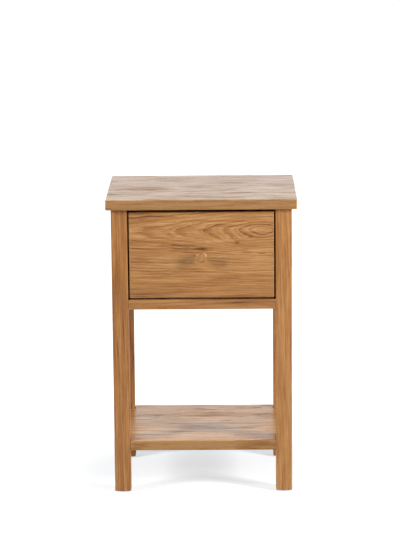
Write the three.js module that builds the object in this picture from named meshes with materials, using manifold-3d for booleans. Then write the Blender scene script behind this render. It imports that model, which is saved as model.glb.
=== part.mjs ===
// Side table in solid oak: four square legs, a drawer over an open space, and a low shelf.
//
// Millimetres, +Z up. The drawer faces -Y, and +X is to the right of someone facing it. The origin is
// on the floor under the middle of the whole outline, knob included. The apron boards are tenoned
// into the legs, the drawer rail and the shelf are dowelled, and the drawer runs on wooden runners.

import * as THREE from 'three';
import { mergeVertices } from 'three/addons/utils/BufferGeometryUtils.js';
import Module from 'manifold-3d';

const wasm = await Module();
wasm.setup();

// ---------------------------------------------------------------- driving dimensions

// Whole table
const TOP_WIDTH = 400;
const TOP_DEPTH = 320;
const TABLE_HEIGHT = 634;
const TOP_THICKNESS = 21;
const TOP_OVERHANG = 11;
const EDGE_EASE = 1.5; // rounding of the edges that a hand meets
const FIT_GAP = 0.3; // between faces that touch when assembled

// Legs and their glides
const LEG_SIDE = 34;
const GLIDE_DIAMETER = 22;
const GLIDE_THICKNESS = 2;
const GLIDE_NAIL_DIAMETER = 2.4;
const GLIDE_NAIL_LENGTH = 14;

// Shelf and drawer rail
const SHELF_HEIGHT = 113; // floor to the shelf's upper face
const SHELF_THICKNESS = 21;
const DRAWER_SPACE = 193; // rail's upper face to the underside of the top
const RAIL_THICKNESS = 21;
const RAIL_DEPTH = 50;

// Apron boards and their tenons
const APRON_THICKNESS = 20;
const APRON_SETBACK = 3; // from the legs' outer faces
const TENON_THICKNESS = 8;
const TENON_SHOULDER = 14; // plain stretch above and below the tenons
const TENON_SPACING = 36; // between the two tenons of one end
const JOINT_WALL = 2; // wood left between two joints that meet inside a leg

// Dowels
const DOWEL_DIAMETER = 8;
const DOWEL_SIDES = 16;

// Runners, guides, kickers and stops for the drawer
const RUNNER_WIDTH = 25;
const GUIDE_HEIGHT = 46;
const GUIDE_CLEARANCE = 1.5; // beside the drawer
const KICKER_THICKNESS = 20;
const KICKER_WIDTH = 36;
const KICKER_CLEARANCE = 3; // above the drawer sides
const STOP_LENGTH = 26;
const STOP_HEIGHT = 9;
const STOP_DEPTH = 20;

// Drawer
const FRONT_THICKNESS = 20;
const FRONT_GAP_SIDE = 3.5;
const FRONT_GAP_BELOW = 3.8;
const FRONT_GAP_ABOVE = 6.7;
const DRAWER_BOARD = 11; // sides and back
const DRAWER_BACK_CLEARANCE = 10; // to the back apron when shut
const RUNNING_GAP = 0.4; // between the drawer sides and the runners
const TAIL_COUNT = 4;
const TAIL_SHARE = 0.68; // tail width at its tip, as a share of the spacing
const TAIL_DEPTH = 13;
const TAIL_SLOPE = 1 / 7;
const BOTTOM_THICKNESS = 5;
const BOTTOM_RISE = 12.5; // lower edge of the drawer side to its groove
const GROOVE_DEPTH = 5;
const HOUSING_DEPTH = 4; // the back's ends in the sides
const BACK_INSET = 7; // drawer sides run past the back
const BACK_LOWER = 6; // back stands lower than the sides

// Knob and screws
const KNOB_DIAMETER = 25;
const KNOB_PROJECTION = 25;
const KNOB_SCREW = { shank: 4, head: 9, headHeight: 2.6, length: 34 };
const TOP_SCREW = { shank: 4, head: 8.5, headHeight: 3, length: 30 };
const BOTTOM_SCREW = { shank: 3, head: 6, headHeight: 1.9, length: 17 };
const SCREW_RECESS = 4; // heads of the top screws sit this deep in the kickers
const BORE_CLEARANCE = 0.3;

// ---------------------------------------------------------------- places worked out from them

const UNDERSIDE = TABLE_HEIGHT - TOP_THICKNESS;
const LEG_OUT_X = TOP_WIDTH / 2 - TOP_OVERHANG;
const LEG_OUT_Y = TOP_DEPTH / 2 - TOP_OVERHANG;
const LEG_IN_X = LEG_OUT_X - LEG_SIDE;
const LEG_IN_Y = LEG_OUT_Y - LEG_SIDE;
const RAIL_TOP = UNDERSIDE - DRAWER_SPACE;
const RAIL_BOTTOM = RAIL_TOP - RAIL_THICKNESS;
const APRON_HEIGHT = UNDERSIDE - FIT_GAP - RAIL_BOTTOM;
const APRON_CENTRE = APRON_SETBACK + APRON_THICKNESS / 2; // in from the legs' outer faces
const APRON_INNER = APRON_SETBACK + APRON_THICKNESS;

// Tenons and dowels reach as deep into a leg as the neighbouring tenon allows.
const JOINT_DEPTH = LEG_SIDE - APRON_CENTRE - TENON_THICKNESS / 2 - JOINT_WALL;
const TENON_ZONE_LOW = RAIL_THICKNESS + TENON_SHOULDER;
const TENON_HEIGHT = (APRON_HEIGHT - TENON_ZONE_LOW - TENON_SHOULDER - TENON_SPACING) / 2;

const DRAWER_HALF_WIDTH = LEG_IN_X - FRONT_GAP_SIDE;
const FRONT_TOP = DRAWER_SPACE - FRONT_GAP_ABOVE; // above the rail, as are the next ones
const FRONT_BOTTOM = FRONT_GAP_BELOW;
const SIDE_TOP = DRAWER_SPACE - KICKER_THICKNESS - KICKER_CLEARANCE;
const SIDE_BOTTOM = RUNNING_GAP;
const GROOVE_LOW = SIDE_BOTTOM + BOTTOM_RISE;
const GROOVE_HIGH = GROOVE_LOW + BOTTOM_THICKNESS + 2 * FIT_GAP;
const DRAWER_LENGTH = 2 * LEG_OUT_Y - APRON_INNER - DRAWER_BACK_CLEARANCE;
const SIDE_INNER_X = DRAWER_HALF_WIDTH - DRAWER_BOARD;
const KNOB_HEIGHT = (FRONT_TOP + FRONT_BOTTOM) / 2;

// The outline's middle lies in front of the top's, because the knob stands out.
const OUTLINE_SHIFT = Math.max(KNOB_PROJECTION + FIT_GAP - TOP_OVERHANG, 0) / 2;

// ---------------------------------------------------------------- finishes

const finish = (color, roughness, metalness = 0) =>
  new THREE.MeshStandardMaterial({ color, roughness, metalness });

const FINISHES = {
  oakTop: () => finish(0xc9ab87, 0.42),
  oakFrame: () => finish(0xb07f4c, 0.5),
  oakFront: () => finish(0xb98650, 0.48),
  paleWood: () => finish(0xd9bf97, 0.6),
  plywood: () => finish(0xd2b88e, 0.65),
  beech: () => finish(0xd4a878, 0.65),
  steel: () => finish(0x9a9a98, 0.35, 0.9),
  nylon: () => finish(0x6b5a48, 0.55),
};

// ---------------------------------------------------------------- solids

/** A closed geometry as a solid that can be joined and cut. */
function toSolid(geometry) {
  const bare = geometry.clone();
  bare.deleteAttribute('normal');
  bare.deleteAttribute('uv');
  const merged = mergeVertices(bare, 1e-4);
  const corners = merged.index.array;
  const kept = [];
  for (let i = 0; i < corners.length; i += 3) {
    const [a, b, c] = [corners[i], corners[i + 1], corners[i + 2]];
    if (a !== b && b !== c && c !== a) kept.push(a, b, c);
  }
  return new wasm.Manifold(
    new wasm.Mesh({
      numProp: 3,
      vertProperties: new Float32Array(merged.attributes.position.array),
      triVerts: new Uint32Array(kept),
    }),
  );
}

/** The geometry of a solid. */
function toGeometry(solid) {
  const mesh = solid.getMesh();
  const geometry = new THREE.BufferGeometry();
  geometry.setAttribute('position', new THREE.BufferAttribute(mesh.vertProperties, 3));
  geometry.setIndex(new THREE.BufferAttribute(mesh.triVerts, 1));
  return geometry;
}

/** One geometry with others cut out of it. */
function cut(body, tools) {
  return toGeometry(tools.reduce((solid, tool) => solid.subtract(toSolid(tool)), toSolid(body)));
}

/** One geometry with others joined on. */
function join(body, others) {
  return toGeometry(others.reduce((solid, other) => solid.add(toSolid(other)), toSolid(body)));
}

/** A sharp block between two corners. */
function block(low, high) {
  const size = high.map((value, i) => value - low[i]);
  const middle = high.map((value, i) => (value + low[i]) / 2);
  return new THREE.BoxGeometry(...size).translate(...middle);
}

/** A closed outline of corner points, drawn out along Z with every edge eased. */
function easedExtrusion(points, bottom, top, ease) {
  const shape = new THREE.Shape(points.map(([x, y]) => new THREE.Vector2(x, y)));
  return new THREE.ExtrudeGeometry(shape, {
    depth: top - bottom - 2 * ease,
    bevelEnabled: true,
    bevelThickness: ease,
    bevelSize: ease,
    bevelOffset: -ease,
    bevelSegments: 2,
  }).translate(0, 0, bottom + ease);
}

/** A block with all of its edges and corners eased. */
function easedBlock(low, high, ease = EDGE_EASE) {
  const nip = ease * 0.6;
  const [x0, y0] = low;
  const [x1, y1] = high;
  const points = [
    [x0 + nip, y0],
    [x1 - nip, y0],
    [x1, y0 + nip],
    [x1, y1 - nip],
    [x1 - nip, y1],
    [x0 + nip, y1],
    [x0, y1 - nip],
    [x0, y0 + nip],
  ];
  return easedExtrusion(points, low[2], high[2], ease);
}

/** A round rod between two points. */
function rod(diameter, from, to, sides = DOWEL_SIDES) {
  const start = new THREE.Vector3(...from);
  const end = new THREE.Vector3(...to);
  const along = end.clone().sub(start);
  const length = along.length();
  const turn = new THREE.Quaternion().setFromUnitVectors(new THREE.Vector3(0, 1, 0), along.normalize());
  const middle = start.add(end).multiplyScalar(0.5);
  return new THREE.CylinderGeometry(diameter / 2, diameter / 2, length, sides)
    .applyQuaternion(turn)
    .translate(middle.x, middle.y, middle.z);
}

/** A turned solid about Y from [radius, height] pairs. */
function turned(profile, sides = DOWEL_SIDES) {
  return new THREE.LatheGeometry(
    profile.map(([radius, height]) => new THREE.Vector2(radius, height)),
    sides,
  );
}

/** A named mesh whose geometry is centred on itself and put back by its position. */
function piece(name, material, geometry) {
  geometry.computeBoundingBox();
  const middle = geometry.boundingBox.getCenter(new THREE.Vector3());
  geometry.translate(-middle.x, -middle.y, -middle.z);
  geometry.computeVertexNormals();
  const mesh = new THREE.Mesh(geometry, material());
  mesh.name = name;
  mesh.position.copy(middle);
  return mesh;
}

const SIDES = [
  ['left', -1],
  ['right', 1],
];
const ENDS = [
  ['front', -1],
  ['back', 1],
];

// ---------------------------------------------------------------- screws

/** A pan-head screw along +Y, its head's seat at y = 0. */
function panScrew({ shank, head, headHeight, length }) {
  return turned([
    [0, -headHeight],
    [head * 0.32, -headHeight],
    [head / 2, -headHeight * 0.45],
    [head / 2, 0],
    [shank / 2, 0],
    [shank / 2, length - shank],
    [0, length],
  ]);
}

/** A countersunk screw along +Y, its head's face at y = 0, grown all round by the given margin. */
function flatScrew({ shank, head, headHeight, length }, margin = 0) {
  return turned([
    [0, -margin],
    [head / 2 + margin, -margin],
    [shank / 2 + margin, headHeight + margin],
    [shank / 2 + margin, length - shank + margin],
    [0, length + margin],
  ]);
}

/** A screw mesh placed with its tip pointing along an axis. */
function screwPiece(name, geometry, position, tip) {
  const mesh = new THREE.Mesh(geometry, FINISHES.steel());
  mesh.name = name;
  mesh.position.set(...position);
  mesh.quaternion.setFromUnitVectors(new THREE.Vector3(0, 1, 0), new THREE.Vector3(...tip));
  return mesh;
}

// ---------------------------------------------------------------- dowels

/** Where the dowels go: a point on each joint's face and the side of the table that it is on. */
function dowelSpots() {
  const spots = [];
  for (const [sideName, side] of SIDES) {
    const railZ = (RAIL_TOP + RAIL_BOTTOM) / 2;
    for (const [place, share] of [['outer', 0.3], ['inner', 0.72]]) {
      const y = -LEG_OUT_Y + LEG_SIDE * share;
      spots.push({ name: `rail_dowel_${sideName}_${place}`, joins: 'rail', side, end: -1, y, z: railZ });
    }
    for (const [endName, end] of ENDS) {
      const y = end * (LEG_OUT_Y - LEG_SIDE / 2);
      const z = SHELF_HEIGHT - SHELF_THICKNESS / 2;
      spots.push({ name: `shelf_dowel_${endName}_${sideName}`, joins: 'shelf', side, end, y, z });
    }
  }
  return spots;
}

/** A dowel, or the bore for it when a margin is given. */
function dowelRod({ side, y, z }, margin = 0) {
  const reach = JOINT_DEPTH - BORE_CLEARANCE + margin;
  const faceX = side * LEG_IN_X;
  return rod(DOWEL_DIAMETER + 2 * margin, [faceX - reach, y, z], [faceX + reach, y, z]);
}

const dowelBores = (wanted) =>
  dowelSpots()
    .filter(wanted)
    .map((spot) => dowelRod(spot, BORE_CLEARANCE));

// ---------------------------------------------------------------- aprons

/** The two tenons at each end of an apron that lies along X, grown by a margin for the mortises. */
function tenons(length, margin = 0) {
  const blocks = [];
  for (const end of [-1, 1]) {
    for (const level of [0, 1]) {
      const low = TENON_ZONE_LOW + level * (TENON_HEIGHT + TENON_SPACING) - margin;
      const near = length / 2 - 1;
      const far = length / 2 + JOINT_DEPTH - FIT_GAP + margin;
      blocks.push(
        block(
          [Math.min(end * near, end * far), -TENON_THICKNESS / 2 - margin, low],
          [Math.max(end * near, end * far), TENON_THICKNESS / 2 + margin, low + TENON_HEIGHT + 2 * margin],
        ),
      );
    }
  }
  return blocks;
}

/** The three aprons, each as the length between its legs and its place and turn. */
const APRONS = [
  ...SIDES.map(([name, side]) => ({
    name: `side_apron_${name}`,
    length: 2 * LEG_IN_Y,
    place: new THREE.Matrix4()
      .makeTranslation(side * (LEG_OUT_X - APRON_CENTRE), 0, RAIL_BOTTOM)
      .multiply(new THREE.Matrix4().makeRotationZ(Math.PI / 2)),
  })),
  {
    name: 'back_apron',
    length: 2 * LEG_IN_X,
    place: new THREE.Matrix4().makeTranslation(0, LEG_OUT_Y - APRON_CENTRE, RAIL_BOTTOM),
  },
];

/** An apron board with its tenons. */
function apronPiece({ name, length, place }) {
  const board = block(
    [-length / 2 + FIT_GAP, -APRON_THICKNESS / 2, 0],
    [length / 2 - FIT_GAP, APRON_THICKNESS / 2, APRON_HEIGHT],
  );
  const mesh = new THREE.Mesh(join(board, tenons(length)), FINISHES.oakFrame());
  mesh.geometry.computeVertexNormals();
  mesh.name = name;
  mesh.applyMatrix4(place);
  return mesh;
}

const mortises = () =>
  APRONS.flatMap(({ length, place }) =>
    tenons(length, FIT_GAP).map((tenon) => tenon.applyMatrix4(place)),
  );

// ---------------------------------------------------------------- legs, glides, rail, shelf, top

/** A leg on the given side and end, with its mortises, dowel bores and nail hole. */
function legPiece([endName, end], [sideName, side]) {
  const x = side * (LEG_OUT_X - LEG_SIDE / 2);
  const y = end * (LEG_OUT_Y - LEG_SIDE / 2);
  const half = LEG_SIDE / 2;
  const stick = easedBlock(
    [x - half, y - half, GLIDE_THICKNESS + FIT_GAP],
    [x + half, y + half, UNDERSIDE - FIT_GAP],
  );
  const nailHole = rod(
    GLIDE_NAIL_DIAMETER + 2 * BORE_CLEARANCE,
    [x, y, 0],
    [x, y, GLIDE_NAIL_LENGTH + BORE_CLEARANCE + GLIDE_THICKNESS],
  );
  const bores = dowelBores((spot) => spot.side === side && spot.end === end);
  const geometry = cut(stick, [nailHole, ...bores, ...mortises()]);
  return piece(`leg_${endName}_${sideName}`, FINISHES.oakFrame, geometry);
}

/** A nail-on glide under a leg. */
function glidePiece([endName, end], [sideName, side]) {
  const nail = GLIDE_NAIL_DIAMETER / 2;
  const disc = GLIDE_DIAMETER / 2;
  const geometry = turned(
    [
      [0, 0],
      [disc - 0.6, 0],
      [disc, 0.6],
      [disc, GLIDE_THICKNESS],
      [nail, GLIDE_THICKNESS],
      [nail, GLIDE_NAIL_LENGTH],
      [0, GLIDE_NAIL_LENGTH + GLIDE_THICKNESS],
    ],
    24,
  );
  const mesh = new THREE.Mesh(geometry, FINISHES.nylon());
  mesh.name = `glide_${endName}_${sideName}`;
  mesh.position.set(side * (LEG_OUT_X - LEG_SIDE / 2), end * (LEG_OUT_Y - LEG_SIDE / 2), 0);
  mesh.rotation.x = Math.PI / 2;
  return mesh;
}

/** The rail under the drawer, flush with the front of the legs. */
function railPiece() {
  const board = easedBlock(
    [-LEG_IN_X + FIT_GAP, -LEG_OUT_Y, RAIL_BOTTOM],
    [LEG_IN_X - FIT_GAP, -LEG_OUT_Y + RAIL_DEPTH, RAIL_TOP],
  );
  return piece('drawer_rail', FINISHES.oakFrame, cut(board, dowelBores((spot) => spot.joins === 'rail')));
}

/** The shelf, notched round the four legs and flush with their outer faces. */
function shelfPiece() {
  const notchX = LEG_IN_X - FIT_GAP;
  const notchY = LEG_IN_Y - FIT_GAP;
  const quarter = [
    [LEG_OUT_X, notchY],
    [notchX, notchY],
    [notchX, LEG_OUT_Y],
  ];
  const points = [
    ...quarter,
    ...quarter.map(([x, y]) => [-x, y]).reverse(),
    ...quarter.map(([x, y]) => [-x, -y]),
    ...quarter.map(([x, y]) => [x, -y]).reverse(),
  ];
  const board = easedExtrusion(points, SHELF_HEIGHT - SHELF_THICKNESS, SHELF_HEIGHT, EDGE_EASE);
  return piece('shelf', FINISHES.oakTop, cut(board, dowelBores((spot) => spot.joins === 'shelf')));
}

/** Where the top's screws stand: two in each kicker. */
function topScrewSpots() {
  const x = LEG_OUT_X - APRON_INNER - KICKER_WIDTH / 2;
  return SIDES.flatMap(([sideName, side]) =>
    ENDS.map(([endName, end]) => ({
      name: `top_screw_${endName}_${sideName}`,
      side,
      x: side * x,
      y: end * LEG_IN_Y * 0.7,
      seat: UNDERSIDE - FIT_GAP - KICKER_THICKNESS + SCREW_RECESS,
    })),
  );
}

const screwBore = ({ x, y }, low, high) =>
  rod(TOP_SCREW.shank + 2 * BORE_CLEARANCE, [x, y, low], [x, y, high]);

/** The top, with blind holes for its screws. */
function topPiece() {
  const board = easedBlock(
    [-TOP_WIDTH / 2, -TOP_DEPTH / 2, UNDERSIDE],
    [TOP_WIDTH / 2, TOP_DEPTH / 2, TABLE_HEIGHT],
  );
  const bores = topScrewSpots().map((spot) =>
    screwBore(spot, UNDERSIDE - 1, spot.seat + TOP_SCREW.length + BORE_CLEARANCE),
  );
  return piece('table_top', FINISHES.oakTop, cut(board, bores));
}

// ---------------------------------------------------------------- runners, guides, kickers, stops

/** The strips on one side that carry, guide and hold down the drawer. */
function runningGear([sideName, side]) {
  const apronX = LEG_OUT_X - APRON_INNER - FIT_GAP;
  const guideX = DRAWER_HALF_WIDTH + GUIDE_CLEARANCE;
  const runnerX = guideX - FIT_GAP;
  const kickerTop = UNDERSIDE - FIT_GAP;
  const kickerLow = kickerTop - KICKER_THICKNESS;
  const mirrored = (low, high) =>
    side > 0 ? block(low, high) : block([-high[0], low[1], low[2]], [-low[0], high[1], high[2]]);

  const runner = mirrored(
    [runnerX - RUNNER_WIDTH, -LEG_OUT_Y + RAIL_DEPTH + FIT_GAP, RAIL_BOTTOM],
    [runnerX, LEG_OUT_Y - APRON_INNER - FIT_GAP, RAIL_TOP],
  );
  const guide = mirrored(
    [guideX, -LEG_OUT_Y + Math.max(RAIL_DEPTH, LEG_SIDE) + FIT_GAP, RAIL_BOTTOM],
    [apronX, LEG_IN_Y - FIT_GAP, RAIL_BOTTOM + GUIDE_HEIGHT],
  );
  const kicker = mirrored(
    [apronX - KICKER_WIDTH, -LEG_IN_Y + FIT_GAP, kickerLow],
    [apronX, LEG_IN_Y - FIT_GAP, kickerTop],
  );
  const stopX = DRAWER_HALF_WIDTH / 2;
  const stopY = -LEG_OUT_Y + FRONT_THICKNESS + FIT_GAP;
  const stop = mirrored(
    [stopX, stopY, RAIL_TOP + FIT_GAP],
    [stopX + STOP_LENGTH, stopY + STOP_DEPTH, RAIL_TOP + STOP_HEIGHT],
  );
  const holes = topScrewSpots()
    .filter((spot) => spot.side === side)
    .flatMap((spot) => [
      screwBore(spot, kickerLow - 1, kickerTop + 1),
      rod(TOP_SCREW.head + 2, [spot.x, spot.y, kickerLow - 1], [spot.x, spot.y, spot.seat + FIT_GAP]),
    ]);
  return [
    piece(`drawer_runner_${sideName}`, FINISHES.paleWood, runner),
    piece(`drawer_guide_${sideName}`, FINISHES.paleWood, guide),
    piece(`drawer_kicker_${sideName}`, FINISHES.paleWood, cut(kicker, holes)),
    piece(`drawer_stop_${sideName}`, FINISHES.paleWood, stop),
  ];
}

// ---------------------------------------------------------------- drawer
// The drawer's own frame: y = 0 at its face with +Y inwards, and z = 0 at the rail's upper face.

/** The spacing and centre heights of the dovetails. */
function tailCentres() {
  const spacing = (SIDE_TOP - FRONT_BOTTOM) / TAIL_COUNT;
  return Array.from({ length: TAIL_COUNT }, (_, i) => FRONT_BOTTOM + spacing * (i + 0.5));
}

/** The four corners of a dovetail in the plane of the side, as [y, z], grown by a margin. */
function tailOutline(centre, root, margin = 0) {
  const spacing = (SIDE_TOP - FRONT_BOTTOM) / TAIL_COUNT;
  const tip = FRONT_THICKNESS - TAIL_DEPTH - margin;
  const halfTip = (spacing * TAIL_SHARE) / 2 + margin;
  const halfRoot = halfTip - (root - tip) * TAIL_SLOPE;
  return [
    [root, centre - halfRoot],
    [tip, centre - halfTip],
    [tip, centre + halfTip],
    [root, centre + halfRoot],
  ];
}

/** An outline of [y, z] points drawn out along X from low to high. */
function plate(points, low, high) {
  const shape = new THREE.Shape(points.map(([y, z]) => new THREE.Vector2(y, z)));
  return new THREE.ExtrudeGeometry(shape, { depth: high - low, bevelEnabled: false })
    .applyMatrix4(new THREE.Matrix4().makeBasis(
      new THREE.Vector3(0, 1, 0),
      new THREE.Vector3(0, 0, 1),
      new THREE.Vector3(1, 0, 0),
    ))
    .translate(low, 0, 0);
}

/** The x range of a drawer side, low to high, with its inner face moved in by a margin. */
const sideSpan = (side, margin = 0) =>
  side > 0 ? [SIDE_INNER_X - margin, DRAWER_HALF_WIDTH] : [-DRAWER_HALF_WIDTH, -SIDE_INNER_X + margin];

/** The drawer front, with sockets for the tails, the bottom's groove and the knob screw's hole. */
function drawerFront() {
  const board = easedBlock(
    [-DRAWER_HALF_WIDTH, 0, FRONT_BOTTOM],
    [DRAWER_HALF_WIDTH, FRONT_THICKNESS, FRONT_TOP],
  );
  const sockets = SIDES.flatMap(([, side]) => {
    const [low, high] = sideSpan(side, FIT_GAP);
    const outwards = side > 0 ? [low, high + 1] : [low - 1, high];
    return tailCentres().map((centre) =>
      plate(tailOutline(centre, FRONT_THICKNESS + 1, FIT_GAP), ...outwards),
    );
  });
  const groove = block(
    [-SIDE_INNER_X - GROOVE_DEPTH, FRONT_THICKNESS - GROOVE_DEPTH - FIT_GAP, GROOVE_LOW],
    [SIDE_INNER_X + GROOVE_DEPTH, FRONT_THICKNESS + 1, GROOVE_HIGH],
  );
  const screwHole = rod(
    KNOB_SCREW.shank + 2 * BORE_CLEARANCE,
    [0, -1, KNOB_HEIGHT],
    [0, FRONT_THICKNESS + 1, KNOB_HEIGHT],
  );
  return piece('drawer_front', FINISHES.oakFront, cut(board, [...sockets, groove, screwHole]));
}

/** A drawer side with its tails, the bottom's groove and the back's housing. */
function drawerSide([name, side]) {
  const shoulder = FRONT_THICKNESS + FIT_GAP;
  const outline = [
    [DRAWER_LENGTH, SIDE_BOTTOM],
    [shoulder, SIDE_BOTTOM],
    ...tailCentres().flatMap((centre) => tailOutline(centre, shoulder)),
    [shoulder, SIDE_TOP],
    [DRAWER_LENGTH, SIDE_TOP],
  ];
  const inner = SIDE_INNER_X - 1;
  const tool = (depth, lowY, highY, lowZ, highZ) => {
    const span = [side * inner, side * (SIDE_INNER_X + depth)].sort((a, b) => a - b);
    return block([span[0], lowY, lowZ], [span[1], highY, highZ]);
  };
  const backOuter = DRAWER_LENGTH - BACK_INSET;
  const groove = tool(
    GROOVE_DEPTH,
    FRONT_THICKNESS - GROOVE_DEPTH - FIT_GAP,
    DRAWER_LENGTH + 1,
    GROOVE_LOW,
    GROOVE_HIGH,
  );
  const housing = tool(
    HOUSING_DEPTH,
    backOuter - DRAWER_BOARD - FIT_GAP,
    backOuter + FIT_GAP,
    GROOVE_LOW,
    SIDE_TOP - BACK_LOWER + FIT_GAP,
  );
  const geometry = cut(plate(outline.reverse(), ...sideSpan(side)), [groove, housing]);
  return piece(`drawer_side_${name}`, FINISHES.paleWood, geometry);
}

/** Where the two screws go up through the bottom into the back's lower edge. */
function bottomScrewSpots() {
  const y = DRAWER_LENGTH - BACK_INSET - DRAWER_BOARD / 2;
  return SIDES.map(([name, side]) => ({
    name: `bottom_screw_${name}`,
    position: [side * SIDE_INNER_X * 0.5, y, GROOVE_LOW + FIT_GAP],
  }));
}

/** The bore that a bottom screw needs. */
const bottomBore = ({ position }) =>
  flatScrew(BOTTOM_SCREW, BORE_CLEARANCE)
    .rotateX(Math.PI / 2)
    .translate(...position);

/** The drawer back, housed in the sides and standing on the bottom. */
function drawerBack() {
  const outer = DRAWER_LENGTH - BACK_INSET;
  const halfWidth = SIDE_INNER_X + HOUSING_DEPTH - FIT_GAP;
  const board = block([-halfWidth, outer - DRAWER_BOARD, GROOVE_HIGH], [halfWidth, outer, SIDE_TOP - BACK_LOWER]);
  return piece('drawer_back', FINISHES.paleWood, cut(board, bottomScrewSpots().map(bottomBore)));
}

/** The drawer bottom, in grooves on three sides and under the back. */
function drawerBottom() {
  const halfWidth = SIDE_INNER_X + GROOVE_DEPTH - FIT_GAP;
  const low = GROOVE_LOW + FIT_GAP;
  const board = block(
    [-halfWidth, FRONT_THICKNESS - GROOVE_DEPTH, low],
    [halfWidth, DRAWER_LENGTH - BACK_INSET / 2, low + BOTTOM_THICKNESS],
  );
  return piece('drawer_bottom', FINISHES.plywood, cut(board, bottomScrewSpots().map(bottomBore)));
}

/** The turned knob, with a blind hole for its screw. */
function knobPiece() {
  const bore = KNOB_SCREW.shank / 2 + BORE_CLEARANCE;
  const boreDepth = KNOB_SCREW.length - FRONT_THICKNESS + BORE_CLEARANCE + FIT_GAP;
  const radius = KNOB_DIAMETER / 2;
  const outside = new THREE.SplineCurve(
    [
      [0.62, 0],
      [0.5, 0.2],
      [0.56, 0.36],
      [0.9, 0.52],
      [1, 0.69],
      [0.9, 0.86],
      [0.58, 0.97],
      [0, 1],
    ].map(([r, h]) => new THREE.Vector2(r * radius, h * KNOB_PROJECTION)),
  ).getPoints(18);
  const geometry = turned(
    [[0, boreDepth], [bore, boreDepth], [bore, 0], ...outside.map(({ x, y }) => [Math.max(x, 0), y])],
    24,
  );
  const mesh = new THREE.Mesh(geometry, FINISHES.oakFront());
  mesh.name = 'drawer_knob';
  mesh.position.set(0, -FIT_GAP, KNOB_HEIGHT);
  mesh.rotation.x = Math.PI;
  return mesh;
}

/** The whole drawer, shut. */
function drawerGroup() {
  const drawer = new THREE.Group();
  drawer.position.set(0, -LEG_OUT_Y, RAIL_TOP);
  drawer.add(drawerFront(), ...SIDES.map(drawerSide), drawerBack(), drawerBottom(), knobPiece());
  const seat = [0, FRONT_THICKNESS + FIT_GAP, KNOB_HEIGHT];
  drawer.add(screwPiece('knob_screw', panScrew(KNOB_SCREW), seat, [0, -1, 0]));
  for (const { name, position } of bottomScrewSpots()) {
    drawer.add(screwPiece(name, flatScrew(BOTTOM_SCREW), position, [0, 0, 1]));
  }
  return drawer;
}

// ---------------------------------------------------------------- assembly

/** Everything that stands still. */
function frameGroup() {
  const frame = new THREE.Group();
  frame.add(topPiece(), railPiece(), shelfPiece(), ...APRONS.map(apronPiece));
  for (const end of ENDS) {
    for (const side of SIDES) {
      frame.add(legPiece(end, side), glidePiece(end, side));
    }
  }
  for (const side of SIDES) frame.add(...runningGear(side));
  for (const spot of dowelSpots()) frame.add(piece(spot.name, FINISHES.beech, dowelRod(spot)));
  for (const { name, x, y, seat } of topScrewSpots()) {
    frame.add(screwPiece(name, panScrew(TOP_SCREW), [x, y, seat], [0, 0, 1]));
  }
  return frame;
}

const table = new THREE.Group();
table.position.y = OUTLINE_SHIFT;
table.add(frameGroup(), drawerGroup());

const model = new THREE.Group();
model.add(table);

export default model;
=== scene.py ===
"""A small oak side table: one drawer on a turned knob, open space below it and a low shelf.

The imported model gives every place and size; this script builds the boards, the turned and dovetailed
parts, the hardware and their finishes around it, in metres, +Z up, with the drawer facing -Y.
"""

import logging
import math
from collections.abc import Iterable, Sequence
from dataclasses import dataclass, field, replace
from enum import Enum

import bmesh
import bpy
from mathutils import Euler, Matrix, Vector
from mathutils.geometry import interpolate_bezier


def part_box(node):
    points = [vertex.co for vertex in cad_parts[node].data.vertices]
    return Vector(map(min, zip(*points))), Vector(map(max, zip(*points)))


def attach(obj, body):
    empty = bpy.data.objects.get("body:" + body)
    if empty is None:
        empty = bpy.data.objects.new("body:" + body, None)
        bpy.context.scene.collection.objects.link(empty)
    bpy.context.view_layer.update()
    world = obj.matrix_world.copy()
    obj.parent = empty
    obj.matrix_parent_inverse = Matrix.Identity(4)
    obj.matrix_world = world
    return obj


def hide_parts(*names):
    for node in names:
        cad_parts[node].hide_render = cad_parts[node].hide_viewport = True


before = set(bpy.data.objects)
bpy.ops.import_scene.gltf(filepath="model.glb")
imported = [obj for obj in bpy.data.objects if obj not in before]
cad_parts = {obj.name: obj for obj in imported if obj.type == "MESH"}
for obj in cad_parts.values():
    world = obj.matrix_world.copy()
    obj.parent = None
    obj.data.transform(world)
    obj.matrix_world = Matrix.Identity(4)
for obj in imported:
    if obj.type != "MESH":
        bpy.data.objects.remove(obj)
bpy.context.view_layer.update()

LOG = logging.getLogger("side_table")

Colour = tuple[float, float, float]
Triple = tuple[float, float, float]
Outline = list[tuple[float, float]]
Mesh = bmesh.types.BMesh
Edge = bmesh.types.BMEdge
Tree = bpy.types.NodeTree
Socket = bpy.types.NodeSocket
Sockets = bpy.types.bpy_prop_collection
Material = bpy.types.Material

WHITE = (1.0, 1.0, 1.0)
ORIGIN = (0.0, 0.0, 0.0)
UP = Vector((0.0, 0.0, 1.0))
FORWARD = Vector((0.0, -1.0, 0.0))
RIGHT = Vector((1.0, 0.0, 0.0))

JOINT_GAP = 0.00025
OVERRUN = 0.002
GLUE_LINE = 0.00025
NEARLY_ONE = 0.999
CORNER_ANGLE = 0.5
CREASE_ANGLE = math.radians(38.0)
FLAT_ANGLE = math.radians(1.0)

SIDES = ("left", "right")
ENDS = ("front", "back")
CORNERS = tuple(f"{end}_{side}" for end in ENDS for side in SIDES)
RAIL_DOWELS = tuple(f"rail_dowel_{side}_{place}" for side in SIDES for place in ("outer", "inner"))


class Body(Enum):
    """The bodies that pieces ride on."""

    TABLE = "table"
    DRAWER = "drawer"


class Axis(Enum):
    """The three axes of the frame, by their index in a vector."""

    X = 0
    Y = 1
    Z = 2


class Grain(Enum):
    """Which way a board's grain runs, as the turn that brings it onto X."""

    ALONG_X = (0.0, 0.0, 0.0)
    ALONG_Y = (0.0, 0.0, -math.pi / 2)
    ALONG_Z = (0.0, math.pi / 2, 0.0)


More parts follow.
